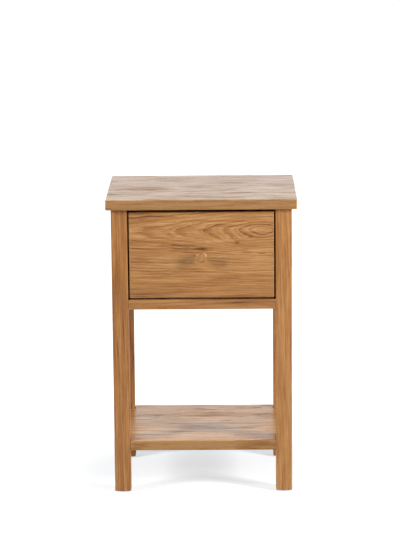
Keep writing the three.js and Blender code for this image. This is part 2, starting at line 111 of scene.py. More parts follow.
# ---------------------------------------------------------------- node wiring


@dataclass(frozen=True)
class Pattern:
    """A noise pattern: cells per metre along each axis, octaves, and how strong the finer ones are."""

    cells: Triple
    detail: float = 2.0
    roughness: float = 0.5


RING_FRAY = Pattern((34.0, 420.0, 420.0), roughness=0.6)
RING_FADE = Pattern((7.0, 55.0, 55.0))
RING_SWAY = Pattern((3.0, 16.0, 16.0))
RING_RIPPLE = Pattern((16.0, 90.0, 90.0))
ARCH_SWAY = Pattern((7.0, 20.0, 30.0), 3.0, 0.55)
ARCH_RIPPLE = Pattern((26.0, 60.0, 150.0))
WIDE_STREAKS = Pattern((7.0, 165.0, 165.0), 4.0, 0.66)
FINE_STREAKS = Pattern((20.0, 520.0, 520.0), 3.0, 0.6)
PORE_DASHES = Pattern((130.0, 2300.0, 2300.0), 1.0)
RAYS = Pattern((70.0, 380.0, 380.0), 1.0, 0.4)
TONE_DRIFT = Pattern((2.2, 11.0, 11.0))
STAINS = Pattern((13.0, 85.0, 85.0), 3.0, 0.62)
STAIN_CLUSTERS = Pattern((4.0, 30.0, 30.0), 1.0)
TORN_EDGE = Pattern((14.0, 160.0, 160.0))
RUBBED_SPOTS = Pattern((45.0, 45.0, 45.0), 3.0, 0.6)
TARNISH = Pattern((240.0, 240.0, 240.0), 3.0, 0.6)
STEEL_GRIT = Pattern((3200.0, 3200.0, 3200.0))
SCUFFS = Pattern((900.0, 90.0, 300.0), 3.0, 0.6)
MOULD_GRAIN = Pattern((2600.0, 2600.0, 2600.0))
FLOOR_CLOUDS = Pattern((3.0, 3.0, 3.0), 3.0)


class Wiring:
    """Adds and joins nodes in one shader node tree."""

    def __init__(self, tree: Tree) -> None:
        """Takes the tree that the nodes go into."""
        self.tree = tree

    def add(self, kind: str, **settings: object) -> bpy.types.Node:
        """Adds a node.

        Args:
            kind: The node's type name.
            settings: Properties to set on it.

        Returns:
            The new node.
        """
        node = self.tree.nodes.new(kind)
        for name, value in settings.items():
            setattr(node, name, value)
        return node

    def feed(self, socket: Socket, value: object) -> None:
        """Links a socket to another, or sets its own value.

        Args:
            socket: The input.
            value: A socket to link, or a value to set.
        """
        if isinstance(value, Socket):
            self.tree.links.new(value, socket)
        elif isinstance(value, tuple) and socket.type == "RGBA":
            socket.default_value = (*value[:3], 1.0)
        else:
            socket.default_value = value

    def fill(self, sockets: Sockets, **values: object) -> None:
        """Feeds sockets by name, with underscores for spaces."""
        for name, value in values.items():
            self.feed(sockets[name.replace("_", " ")], value)

    def maths(self, operation: str, *terms: object, clamp: bool = False) -> Socket:
        """A Math node on the given terms.

        Args:
            operation: The node's operation.
            terms: Its inputs, in order.
            clamp: Whether the result stays between 0 and 1.

        Returns:
            The result.
        """
        node = self.add("ShaderNodeMath", operation=operation, use_clamp=clamp)
        for socket, term in zip(node.inputs, terms):
            self.feed(socket, term)
        return node.outputs[0]

    def plus(self, first: object, second: object) -> Socket:
        """The sum of two values."""
        return self.maths("ADD", first, second)

    def minus(self, first: object, second: object) -> Socket:
        """The first value less the second."""
        return self.maths("SUBTRACT", first, second)

    def times(self, first: object, second: object) -> Socket:
        """The product of two values."""
        return self.maths("MULTIPLY", first, second)

    def scaled(self, value: object, factor: object, base: object) -> Socket:
        """A value times a factor, added to a base."""
        return self.maths("MULTIPLY_ADD", value, factor, base)

    def swing(self, value: object) -> Socket:
        """A value from 0 to 1, shifted to swing round 0."""
        return self.minus(value, 0.5)

    def vector(self, operation: str, *terms: object) -> Socket:
        """A Vector Math node on the given terms.

        Args:
            operation: The node's operation.
            terms: Its inputs, in order.

        Returns:
            The result.
        """
        node = self.add("ShaderNodeVectorMath", operation=operation)
        for socket, term in zip(node.inputs, terms):
            self.feed(socket, term)
        return node.outputs["Value" if operation in ("LENGTH", "DOT_PRODUCT", "DISTANCE") else 0]

    def parts(self, vector: object) -> tuple[Socket, ...]:
        """The three parts of a vector.

        Args:
            vector: The vector.

        Returns:
            Its X, Y and Z.
        """
        node = self.add("ShaderNodeSeparateXYZ")
        self.feed(node.inputs[0], vector)
        return tuple(node.outputs)

    def joined(self, x: object = 0.0, y: object = 0.0, z: object = 0.0) -> Socket:
        """A vector from three parts.

        Args:
            x: Along X.
            y: Along Y.
            z: Along Z.

        Returns:
            The vector.
        """
        node = self.add("ShaderNodeCombineXYZ")
        for socket, value in zip(node.inputs, (x, y, z)):
            self.feed(socket, value)
        return node.outputs[0]

    def noise(self, point: object, pattern: Pattern, seed: object = 0.0) -> Socket:
        """Noise that differs from finish to finish.

        Args:
            point: Where to read it, in metres.
            pattern: How it is stretched and how fine it is.
            seed: A fourth coordinate.

        Returns:
            A value from 0 to 1, mostly near 0.5.
        """
        node = self.add("ShaderNodeTexNoise", noise_dimensions="4D")
        self.fill(
            node.inputs, Vector=self.vector("MULTIPLY", point, pattern.cells), W=seed, Scale=1.0,
            Detail=pattern.detail, Roughness=pattern.roughness,
        )
        return node.outputs["Fac"]

    def spread(
        self, value: object, low: object, high: object, to_low: object = 0.0, to_high: object = 1.0,
        smooth: bool = True,
    ) -> Socket:
        """A value remapped from one range to another and held inside it.

        Args:
            value: The value.
            low: Where the first range starts.
            high: Where it ends.
            to_low: What its start becomes.
            to_high: What its end becomes.
            smooth: Whether the ends are eased.

        Returns:
            The remapped value.
        """
        kind = "SMOOTHSTEP" if smooth else "LINEAR"
        node = self.add("ShaderNodeMapRange", interpolation_type=kind)
        for socket, term in zip(node.inputs, (value, low, high, to_low, to_high)):
            self.feed(socket, term)
        return node.outputs[0]

    def mix(self, factor: object, first: object, second: object) -> Socket:
        """Two colours mixed.

        Args:
            factor: The second colour's share.
            first: The first colour.
            second: The second colour.

        Returns:
            The mixed colour.
        """
        node = self.add("ShaderNodeMix", data_type="RGBA")
        self.fill(node.inputs, Factor=factor, A=first, B=second)
        return node.outputs["Result"]

    def bump(self, height: object, strength: float, distance: float) -> Socket:
        """The normal that a height gives.

        Args:
            height: The height.
            strength: How far it turns the normal.
            distance: What a height of one stands for, in metres.

        Returns:
            The normal.
        """
        node = self.add("ShaderNodeBump")
        self.fill(node.inputs, Strength=strength, Distance=distance, Height=height)
        return node.outputs["Normal"]

    def ramp(self, value: object, stops: Sequence[tuple[float, Colour]]) -> Socket:
        """A colour ramp with the given stops.

        Args:
            value: Where on the ramp.
            stops: Each stop's place and colour.

        Returns:
            The colour.
        """
        node = self.add("ShaderNodeValToRGB")
        band = node.color_ramp
        while len(band.elements) < len(stops):
            band.elements.new(1.0)
        for element, (position, colour) in zip(band.elements, stops):
            element.position = position
            element.color = (*colour, 1.0)
        self.feed(node.inputs[0], value)
        return node.outputs["Color"]

    def group(self, tree: Tree, **values: object) -> dict[str, Socket]:
        """Places a node group.

        Args:
            tree: The group.
            values: What its inputs get, with underscores for spaces.

        Returns:
            Its outputs by name.
        """
        node = self.add("ShaderNodeGroup")
        node.node_tree = tree
        self.fill(node.inputs, **values)
        return {socket.name: socket for socket in node.outputs}


class Effect:
    """A shader node group under construction."""

    def __init__(self, name: str, inputs: dict[str, object], outputs: Sequence[str]) -> None:
        """Makes the group with its sockets.

        Args:
            name: The group's name.
            inputs: Default values by socket name; a triple makes a vector socket.
            outputs: Names of its number outputs.
        """
        self.tree = bpy.data.node_groups.new(name, "ShaderNodeTree")
        for label, value in inputs.items():
            kind = "NodeSocketVector" if isinstance(value, tuple) else "NodeSocketFloat"
            socket = self.tree.interface.new_socket(label, in_out="INPUT", socket_type=kind)
            socket.default_value = value
        for label in outputs:
            self.tree.interface.new_socket(label, in_out="OUTPUT", socket_type="NodeSocketFloat")
        self.wiring = Wiring(self.tree)
        self.given = self.wiring.add("NodeGroupInput").outputs
        self.results = self.wiring.add("NodeGroupOutput").inputs

    def finish(self, **values: Socket) -> Tree:
        """Joins the results to the outputs and returns the group."""
        self.wiring.fill(self.results, **values)
        return self.tree


def late_wood(w: Wiring, years: Socket, point: Socket, seed: object) -> Socket:
    """Turns a count of years into dark lines that fade and fray, with finer ones between them.

    Args:
        w: The tree that the nodes go into.
        years: A value that grows by one for each ring.
        point: The place on the board, grain along X.
        seed: Makes one board's lines differ from the next board's.

    Returns:
        Line strength from 0 to 1.
    """
    fray = w.swing(w.noise(point, RING_FRAY, seed))
    frayed = w.scaled(fray, 0.55, years)
    coarse = ring_lines(w, frayed, seed)
    fine = ring_lines(w, w.scaled(frayed, 2.63, 0.4), seed)
    both = w.maths("MAXIMUM", coarse, w.times(fine, 0.5))
    fade = w.spread(w.noise(point, RING_FADE, seed), 0.34, 0.6, 0.4, 1.0)
    return w.times(both, fade)


def ring_lines(w: Wiring, years: Socket, seed: object) -> Socket:
    """One dark line for each year, soft on its inner side, no two as strong.

    Args:
        w: The tree that the nodes go into.
        years: A value that grows by one for each ring.
        seed: Varies which lines are strong.

    Returns:
        Line strength from 0 to 1.
    """
    phase = w.maths("FRACT", years)
    rise = w.spread(phase, 0.42, 0.88)
    fall = w.spread(phase, 0.9, 1.0, 1.0, 0.0)
    which = w.add("ShaderNodeTexWhiteNoise", noise_dimensions="2D")
    w.feed(which.inputs["Vector"], w.joined(w.maths("FLOOR", years), seed))
    strength = w.spread(which.outputs["Value"], 0.0, 1.0, 0.4, 1.0, smooth=False)
    return w.times(w.times(rise, fall), strength)


def make_solid_figure() -> Tree:
    """Growth rings round a pith line that lies along X, as a saw meets them.

    Returns:
        A group that puts out the late-wood lines.
    """
    effect = Effect(
        "solid_figure",
        {"Point": ORIGIN, "Ring Width": 0.004, "Taper": 0.02, "Wander": 0.006, "Seed": 0.0}, ["Rings"],
    )
    w, given = effect.wiring, effect.given
    point, seed = given["Point"], given["Seed"]
    sway = w.swing(w.noise(point, RING_SWAY, seed))
    ripple = w.swing(w.noise(point, RING_RIPPLE, seed))
    x, y, z = w.parts(point)
    radius = w.vector("LENGTH", w.joined(0.0, y, z))
    cone = w.scaled(x, given["Taper"], radius)
    swayed = w.scaled(sway, w.times(given["Wander"], 3.0), cone)
    rippled = w.scaled(ripple, w.times(given["Wander"], 0.45), swayed)
    years = w.maths("DIVIDE", rippled, given["Ring Width"])
    return effect.finish(Rings=late_wood(w, years, point, seed))


def make_crown_figure() -> Tree:
    """The nested arches of a crown-cut board, closing round a centre, with a knot that bends them.

    The board is cut ever further from the pith on either side of the centre, quickly at first.

    Returns:
        A group that puts out the late-wood lines and the knot's mask.
    """
    effect = Effect(
        "crown_figure",
        {
            "Point": ORIGIN, "Centre": ORIGIN, "Knot": ORIGIN, "Reach": 0.017, "Start": 0.032,
            "Ring Width": 0.0032, "Seed": 0.0,
        },
        ["Rings", "Knot Mask"],
    )
    w, given = effect.wiring, effect.given
    point, seed = given["Point"], given["Seed"]
    sway = w.swing(w.noise(point, ARCH_SWAY, seed))
    ripple = w.swing(w.noise(point, ARCH_RIPPLE, seed))
    x, y, z = w.parts(w.vector("SUBTRACT", point, given["Centre"]))
    along = w.plus(w.maths("DIVIDE", w.maths("ABSOLUTE", x), given["Start"]), 1.0)
    from_pith = w.times(w.maths("LOGARITHM", along, math.e), given["Reach"])
    lifted = w.scaled(sway, 0.015, z)
    radius = w.vector("LENGTH", w.joined(0.0, w.plus(from_pith, y), lifted))
    years = w.maths("DIVIDE", radius, given["Ring Width"])
    to_knot = w.vector("SUBTRACT", point, given["Knot"])
    knot_distance = w.vector("LENGTH", w.vector("MULTIPLY", to_knot, (26.0, 26.0, 78.0)))
    bulge = w.maths("EXPONENT", w.times(w.maths("POWER", knot_distance, 2.0), -1.0))
    bent = w.scaled(bulge, -1.3, years)
    rippled = w.scaled(ripple, 0.6, bent)
    core = w.vector("LENGTH", w.vector("MULTIPLY", to_knot, (190.0, 40.0, 330.0)))
    quiet = w.spread(radius, 0.05, 0.1, 1.0, 0.5)
    rings = w.times(late_wood(w, rippled, point, seed), quiet)
    return effect.finish(Rings=rings, Knot_Mask=w.spread(core, 0.4, 1.5, 1.0, 0.0))


def make_fibre() -> Tree:
    """What every cut of oak shows between the rings.

    Returns:
        A group that puts out streaks, open pores, ray flecks, short dark marks and a slow drift of tone.
    """
    effect = Effect(
        "oak_fibre", {"Point": ORIGIN, "Rings": 0.0, "Seed": 0.0},
        ["Streaks", "Pores", "Flecks", "Marks", "Drift"],
    )
    w, given = effect.wiring, effect.given
    point, seed = given["Point"], given["Seed"]
    wide = w.noise(point, WIDE_STREAKS, seed)
    fine = w.noise(point, FINE_STREAKS, seed)
    streaks = w.plus(w.times(wide, 0.6), w.times(fine, 0.4))
    dashes = w.noise(point, PORE_DASHES, seed)
    gate = w.scaled(given["Rings"], -0.1, 0.64)
    pores = w.spread(dashes, gate, w.plus(gate, 0.09))
    rays = w.noise(point, RAYS, w.plus(seed, 17.0))
    flecks = w.spread(rays, 0.68, 0.78)
    drift = w.noise(point, TONE_DRIFT, w.plus(seed, 5.0))
    stains = w.noise(point, STAINS, w.plus(seed, 9.0))
    clusters = w.noise(point, STAIN_CLUSTERS, w.plus(seed, 13.0))
    marks = w.times(w.spread(stains, 0.53, 0.66), w.spread(clusters, 0.4, 0.6, 0.3, 1.0))
    return effect.finish(Streaks=streaks, Pores=pores, Flecks=flecks, Marks=marks, Drift=drift)


def seam(w: Wiring, count: Socket, size: Socket) -> Socket:
    """The thin glue line wherever a count of equal boards passes a whole number.

    Args:
        w: The tree that the nodes go into.
        count: A value that grows by one for each board.
        size: The boards' size, in metres.

    Returns:
        The line's mask.
    """
    from_middle = w.times(w.maths("ABSOLUTE", w.swing(w.maths("FRACT", count))), size)
    edge = w.scaled(size, 0.5, -GLUE_LINE)
    return w.spread(from_middle, w.minus(edge, GLUE_LINE), edge)


def make_staves() -> Tree:
    """Boards glued up edge to edge across Y, each row butt-jointed along X.

    Returns:
        A group that puts out each stave's own number and the glue lines.
    """
    effect = Effect(
        "glued_staves",
        {
            "Point": ORIGIN, "Edge": 0.0, "Width": 0.05, "Length": 0.4, "First Butt": 0.0,
            "Stagger": 0.37, "Seed": 0.0,
        },
        ["Number", "Glue Line"],
    )
    w, given = effect.wiring, effect.given
    x, y, _ = w.parts(given["Point"])
    rows = w.maths("DIVIDE", w.minus(y, given["Edge"]), given["Width"])
    row = w.maths("FLOOR", rows)
    start = w.times(row, given["Stagger"])
    along = w.maths("DIVIDE", w.minus(x, given["First Butt"]), given["Length"])
    lengths = w.minus(along, start)
    column = w.maths("FLOOR", lengths)
    which = w.add("ShaderNodeTexWhiteNoise", noise_dimensions="3D")
    w.feed(which.inputs["Vector"], w.joined(row, column, given["Seed"]))
    glue = w.maths("MAXIMUM", seam(w, rows, given["Width"]), seam(w, lengths, given["Length"]))
    return effect.finish(Number=which.outputs["Value"], Glue_Line=glue)


def make_patch() -> Tree:
    """A long soft-edged patch, in which a finish is darker, paler or duller.

    Returns:
        A group that puts out its mask.
    """
    effect = Effect(
        "figure_patch",
        {"Point": ORIGIN, "Middle": ORIGIN, "Spread": (10.0, 30.0, 30.0), "Ragged": 1.1, "Seed": 0.0},
        ["Mask"],
    )
    w, given = effect.wiring, effect.given
    away = w.vector("MULTIPLY", w.vector("SUBTRACT", given["Point"], given["Middle"]), given["Spread"])
    ragged = w.swing(w.noise(given["Point"], TORN_EDGE, given["Seed"]))
    torn = w.times(ragged, given["Ragged"])
    distance = w.plus(torn, w.vector("LENGTH", away))
    return effect.finish(Mask=w.spread(distance, 0.35, 1.15, 1.0, 0.0))


def make_edge_wear() -> Tree:
    """Edges that hands have rubbed, found where the rounded normal leaves the face's own.

    Returns:
        A group that puts out the wear mask.
    """
    effect = Effect("edge_wear", {"Point": ORIGIN, "Radius": 0.0016, "Seed": 0.0}, ["Wear"])
    w, given = effect.wiring, effect.given
    rounded = w.add("ShaderNodeBevel", samples=4)
    w.feed(rounded.inputs["Radius"], given["Radius"])
    flat = w.add("ShaderNodeNewGeometry")
    agreement = w.vector("DOT_PRODUCT", rounded.outputs["Normal"], flat.outputs["True Normal"])
    edge = w.spread(agreement, 0.995, 0.86)
    patches = w.noise(given["Point"], RUBBED_SPOTS, given["Seed"])
    return effect.finish(Wear=w.times(edge, w.spread(patches, 0.3, 0.62, 0.35, 1.0)))


@dataclass(frozen=True)
class Effects:
    """The shader node groups that the finishes share."""

    solid_figure: Tree = field(default_factory=make_solid_figure)
    crown_figure: Tree = field(default_factory=make_crown_figure)
    fibre: Tree = field(default_factory=make_fibre)
    staves: Tree = field(default_factory=make_staves)
    patch: Tree = field(default_factory=make_patch)
    edge_wear: Tree = field(default_factory=make_edge_wear)


# ---------------------------------------------------------------- finishes


def start_material(name: str) -> tuple[Material, Wiring, Sockets, Socket]:
    """Starts a material.

    Args:
        name: Its name.

    Returns:
        The material, its wiring, its shader's inputs and the place on the object.
    """
    material = bpy.data.materials.new(name)
    material.use_nodes = True
    w = Wiring(material.node_tree)
    shader = material.node_tree.nodes["Principled BSDF"].inputs
    return material, w, shader, w.add("ShaderNodeTexCoord").outputs["Object"]


@dataclass(frozen=True)
class Staves:
    """How a wide board is glued up."""

    width: float
    length: float
    edge: float = 0.0
    first_butt: float = 0.0
    stagger: float = 0.37
    contrast: float = 0.3


@dataclass(frozen=True)
class Patch:
    """A patch in a board: its middle, half sizes, added depth of colour, torn edge and added roughness."""

    middle: Triple
    half_size: Triple
    strength: float
    ragged: float = 1.1
    dull: float = 0.0


@dataclass(frozen=True)
class Crown:
    """Where a crown-cut board's arches close, and where its knot lies."""

    centre: Triple
    knot: Triple
    reach: float = 0.017
    start: float = 0.032


@dataclass(frozen=True)
class Timber:
    """The colours of one kind of wood, from pale early wood to the darkest lines."""

    pale: Colour
    middle: Colour
    deep: Colour
    dark: Colour


OAK = Timber((0.6, 0.335, 0.138), (0.44, 0.205, 0.064), (0.29, 0.117, 0.033), (0.12, 0.045, 0.014))
WARM_OAK = Timber((0.585, 0.31, 0.118), (0.43, 0.186, 0.052), (0.285, 0.108, 0.027), (0.12, 0.043, 0.012))
GOLDEN_OAK = Timber((0.64, 0.345, 0.125), (0.5, 0.24, 0.072), (0.34, 0.145, 0.04), (0.14, 0.055, 0.016))
POPLAR = Timber((0.72, 0.56, 0.36), (0.64, 0.46, 0.26), (0.52, 0.35, 0.18), (0.33, 0.2, 0.1))
BEECH = Timber((0.68, 0.44, 0.26), (0.6, 0.36, 0.19), (0.5, 0.27, 0.13), (0.3, 0.14, 0.06))


PORE_ROUGHNESS = 0.22
MARK_ROUGHNESS = 0.2
WEAR_ROUGHNESS = -0.1
PORE_HEIGHT = -1.0
STREAK_HEIGHT = 0.5
RING_HEIGHT = -0.15
KNOT_DEPTH = 0.4
COAT_LOSS = 2.4
STAVE_SHIFT = (7.0, 0.09, 0.06)


@dataclass(frozen=True)
class WoodFinish:
    """A wooden board's finish: its timber, how it was sawn, and how smooth it is."""

    name: str
    timber: Timber = OAK
    grain: Grain = Grain.ALONG_X
    pith: Triple = (0.0, 0.09, 0.07)
    ring_width: float = 0.0045
    taper: float = 0.03
    wander: float = 0.006
    ring_contrast: float = 0.42
    streak_contrast: float = 1.5
    depth: float = 0.34
    seed: float = 0.0
    roughness: float = 0.34
    lacquer: float = 0.0
    gloss_streaks: float = 0.25
    drift_contrast: float = 0.8
    marks: float = 0.25
    staves: Staves | None = None
    crown: Crown | None = None
    patches: tuple[Patch, ...] = ()
    plies: int = 0

    def make(self, effects: Effects, block: "Block") -> Material:
        """Builds the material.

        Args:
            effects: The shared node groups.
            block: The board's lowest and highest corner.

        Returns:
            The finished material.
        """
        material, w, shader, place = start_material(self.name)
        turned = w.add("ShaderNodeMapping", vector_type="POINT")
        w.feed(turned.inputs["Vector"], w.vector("SUBTRACT", place, tuple(block.middle)))
        turned.inputs["Rotation"].default_value = Euler(self.grain.value)
        board = turned.outputs["Vector"]
        ply = None
        if self.plies:
            board, ply = self._plies(w, board, block.size.z)

        depth, point, glue = self._stave_depth(w, effects, board)
        rings, knot = self._figure(w, effects, point, board)
        fibre = w.group(effects.fibre, Point=point, Rings=rings, Seed=self.seed)
        wear = w.group(effects.edge_wear, Point=board, Seed=self.seed)["Wear"]
        streaks = w.swing(fibre["Streaks"])
        depth = w.scaled(rings, self.ring_contrast, depth)
        depth = w.scaled(streaks, self.streak_contrast, depth)
        depth = w.scaled(w.swing(fibre["Drift"]), self.drift_contrast, depth)
        depth = w.scaled(fibre["Marks"], self.marks, depth)
        roughness = w.scaled(fibre["Pores"], PORE_ROUGHNESS, self.roughness)
        roughness = w.scaled(streaks, self.gloss_streaks, roughness)
        roughness = w.scaled(fibre["Marks"], MARK_ROUGHNESS, roughness)
        for patch in self.patches:
            mask = w.group(
                effects.patch, Point=board, Middle=patch.middle,
                Spread=tuple(1.0 / half for half in patch.half_size), Ragged=patch.ragged, Seed=self.seed,
            )["Mask"]
            depth = w.scaled(mask, patch.strength, depth)
            if patch.dull:
                roughness = w.scaled(mask, patch.dull, roughness)
        if knot is not None:
            depth = w.scaled(knot, KNOT_DEPTH, depth)

        timber = self.timber
        stops = [(0.0, timber.pale), (0.4, timber.middle), (0.75, timber.deep), (1.0, timber.dark)]
        colour = w.ramp(depth, stops)
        tints = (
            (fibre["Pores"], 0.42, timber.dark), (fibre["Flecks"], 0.16, timber.pale),
            (glue, 0.45, timber.dark), (ply, 0.35, timber.deep), (wear, 0.25, timber.pale),
        )
        for mask, share, tint in tints:
            if mask is not None:
                colour = w.mix(w.times(mask, share), colour, tint)
        height = w.times(fibre["Pores"], PORE_HEIGHT)
        height = w.scaled(fibre["Streaks"], STREAK_HEIGHT, height)
        height = w.scaled(rings, RING_HEIGHT, height)
        w.fill(
            shader, Base_Color=colour, Roughness=w.scaled(wear, WEAR_ROUGHNESS, roughness),
            Normal=w.bump(height, 0.35, 0.00025), IOR=1.5,
        )
        if self.lacquer:
            rubbed = w.minus(roughness, self.roughness)
            share = w.maths("MULTIPLY_ADD", rubbed, -COAT_LOSS * self.lacquer, self.lacquer, clamp=True)
            w.fill(shader, Coat_Weight=share, Coat_Roughness=0.3)
        return material

    def _plies(self, w: Wiring, board: Socket, thickness: float) -> tuple[Socket, Socket]:
        """Crosses the grain from ply to ply.

        Args:
            w: The material's wiring.
            board: The place on the board, grain along X.
            thickness: The board's thickness.

        Returns:
            The place with X and Y exchanged in the cross plies, and the cross plies' mask.
        """
        x, y, z = w.parts(board)
        level = w.scaled(z, 0.998 * self.plies / thickness, self.plies / 2)
        cross = w.maths("MODULO", w.maths("FLOOR", level), 2.0)
        straight = w.minus(1.0, cross)
        along = w.plus(w.times(x, straight), w.times(y, cross))
        across = w.plus(w.times(y, straight), w.times(x, cross))
        return w.joined(along, across, z), cross

    def _stave_depth(
        self, w: Wiring, effects: Effects, board: Socket
    ) -> tuple[object, Socket, Socket | None]:
        """Starts the colour depth, with each stave's own tone and grain where there are staves.

        Args:
            w: The material's wiring.
            effects: The shared node groups.
            board: The place on the board, grain along X.

        Returns:
            The depth, the place to read the grain at, and the glue lines.
        """
        if self.staves is None:
            return self.depth, board, None
        glued = w.group(
            effects.staves, Point=board, Edge=self.staves.edge, Width=self.staves.width,
            Length=self.staves.length, First_Butt=self.staves.first_butt, Stagger=self.staves.stagger,
            Seed=self.seed,
        )
        number = glued["Number"]
        tone = w.times(w.swing(number), self.staves.contrast)
        shift = w.joined(*(w.times(number, span) for span in STAVE_SHIFT))
        return w.plus(tone, self.depth), w.vector("ADD", board, shift), glued["Glue Line"]

    def _figure(
        self, w: Wiring, effects: Effects, point: Socket, board: Socket
    ) -> tuple[Socket, Socket | None]:
        """The late-wood lines, and the knot on a crown-cut board.

        Args:
            w: The material's wiring.
            effects: The shared node groups.
            point: The place to read the grain at.
            board: The place on the board.

        Returns:
            The lines and the knot's mask, which is None on a straight-grained board.
        """
        if self.crown is None:
            figure = w.group(
                effects.solid_figure, Point=w.vector("SUBTRACT", point, self.pith),
                Ring_Width=self.ring_width, Taper=self.taper, Wander=self.wander, Seed=self.seed,
            )
            return figure["Rings"], None
        figure = w.group(
            effects.crown_figure, Point=board, Centre=self.crown.centre, Knot=self.crown.knot,
            Reach=self.crown.reach, Start=self.crown.start, Ring_Width=self.ring_width, Seed=self.seed,
        )
        return figure["Rings"], figure["Knot Mask"]


PLAIN_POPLAR = WoodFinish(name="poplar", timber=POPLAR, streak_contrast=1.0, roughness=0.56)


@dataclass(frozen=True)
class SteelFinish:
    """Zinc-plated steel with fine turning marks and a little tarnish."""

    name: str = "zinc_steel"
    colour: Colour = (0.52, 0.53, 0.54)
    tarnish: Colour = (0.3, 0.28, 0.24)
    rubbed: Colour = (0.7, 0.7, 0.7)

    def make(self, effects: Effects) -> Material:
        """Builds the material.

        Args:
            effects: The shared node groups.

        Returns:
            The finished material.
        """
        material, w, shader, place = start_material(self.name)
        clouds = w.noise(place, TARNISH)
        wear = w.group(effects.edge_wear, Point=place, Radius=0.0004)["Wear"]
        colour = w.mix(w.spread(clouds, 0.45, 0.75), self.colour, self.tarnish)
        w.fill(
            shader, Base_Color=w.mix(w.times(wear, 0.5), colour, self.rubbed),
            Roughness=w.scaled(clouds, 0.35, 0.18), Metallic=1.0,
            Normal=w.bump(w.noise(place, STEEL_GRIT), 0.2, 0.00005),
        )
        return material


@dataclass(frozen=True)
class PlasticFinish:
    """Moulded brown nylon, scuffed where it slides."""

    name: str = "brown_nylon"
    colour: Colour = (0.115, 0.078, 0.05)
    scuffed: Colour = (0.26, 0.21, 0.16)

    def make(self, effects: Effects) -> Material:
        """Builds the material.

        Args:
            effects: The shared node groups.

        Returns:
            The finished material.
        """
        material, w, shader, place = start_material(self.name)
        wear = w.group(effects.edge_wear, Point=place, Radius=0.0006)["Wear"]
        rubbed = w.maths("MAXIMUM", w.spread(w.noise(place, SCUFFS), 0.56, 0.72), wear)
        w.fill(
            shader, Base_Color=w.mix(w.times(rubbed, 0.7), self.colour, self.scuffed),
            Roughness=w.scaled(rubbed, 0.2, 0.42),
            Normal=w.bump(w.noise(place, MOULD_GRAIN), 0.25, 0.00008),
        )
        return material


# ---------------------------------------------------------------- shaping


@dataclass
class Block:
    """The lowest and highest corner of a board."""

    low: Vector
    high: Vector

    @classmethod
    def of(cls, node: str) -> "Block":
        """The block that a CAD node fills."""
        return cls(*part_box(node))

    @property
    def middle(self) -> Vector:
        """Its centre."""
        return (self.low + self.high) / 2

    @property
    def size(self) -> Vector:
        """Its three side lengths."""
        return self.high - self.low

    def loose(self) -> "Block":
        """The same block, a joint's gap larger on every side."""
        gap = Vector((JOINT_GAP, JOINT_GAP, JOINT_GAP))
        return Block(self.low - gap, self.high + gap)


def start_block(block: Block) -> Mesh:
    """A new mesh that holds one block.

    Args:
        block: The space that it fills.

    Returns:
        The mesh.
    """
    bm = bmesh.new()
    bmesh.ops.create_cube(bm, size=1.0)
    bmesh.ops.scale(bm, verts=bm.verts, vec=block.size)
    bmesh.ops.translate(bm, verts=bm.verts, vec=block.middle)
    return bm


def lies_along(edge: Edge, axis: Axis) -> bool:
    """Whether an edge runs along an axis."""
    run = (edge.verts[1].co - edge.verts[0].co).normalized()
    return abs(run[axis.value]) > NEARLY_ONE


def start_cylinder(radius: float, length: float, segments: int) -> Mesh:
    """A new mesh that holds one upright cylinder.

    Args:
        radius: Its radius.
        length: Its length.
        segments: How many sides it has.

    Returns:
        The mesh, centred on the origin.
    """
    bm = bmesh.new()
    bmesh.ops.create_cone(bm, cap_ends=True, segments=segments, radius1=radius, radius2=radius, depth=length)
    return bm


def round_over(bm: Mesh, edges: Iterable[Edge], radius: float, segments: int) -> None:
    """Rounds edges to a radius.

    Args:
        bm: The mesh.
        edges: The edges to round.
        radius: How far the rounding reaches from each edge.
        segments: Facets across the rounding.
    """
    bmesh.ops.bevel(
        bm, geom=list(edges), offset=radius, offset_type="OFFSET", segments=segments, profile=0.5,
        affect="EDGES", clamp_overlap=True, material=-1,
    )


def eased_block(node: str, radius: float, segments: int) -> Mesh:
    """A mesh of the block that a CAD node fills, with every edge rounded.

    Args:
        node: The CAD node.
        radius: The edges' radius.
        segments: How many faces round an edge.

    Returns:
        The mesh.
    """
    bm = start_block(Block.of(node))
    round_over(bm, bm.edges, radius, segments)
    return bm


def ease_convex(bm: Mesh, radius: float) -> None:
    """Rounds every outer edge a little, and leaves the inner ones square.

    Args:
        bm: The mesh.
        radius: The edges' radius.
    """
    bm.normal_update()
    outer = [edge for edge in bm.edges if edge.is_convex and edge.calc_face_angle(0.0) > CORNER_ANGLE]
    round_over(bm, outer, radius, segments=2)


def curve_through(points: Sequence[tuple[float, float]], steps: int) -> Outline:
    """A smooth line through points.

    Args:
        points: Pairs of radius and height.
        steps: Points to make for each stretch.

    Returns:
        The line's points, in order.
    """
    knots = [Vector((radius, height)) for radius, height in points]
    ahead = [*knots[1:], knots[-1]]
    behind = [knots[0], *knots[:-1]]
    slopes = [(after - before) / 6 for after, before in zip(ahead, behind)]
    line = [knots[0]]
    for i in range(len(knots) - 1):
        handles = (knots[i] + slopes[i], knots[i + 1] - slopes[i + 1])
        line += interpolate_bezier(knots[i], *handles, knots[i + 1], steps)[1:]
    return [(max(point.x, 0.0), point.y) for point in line]


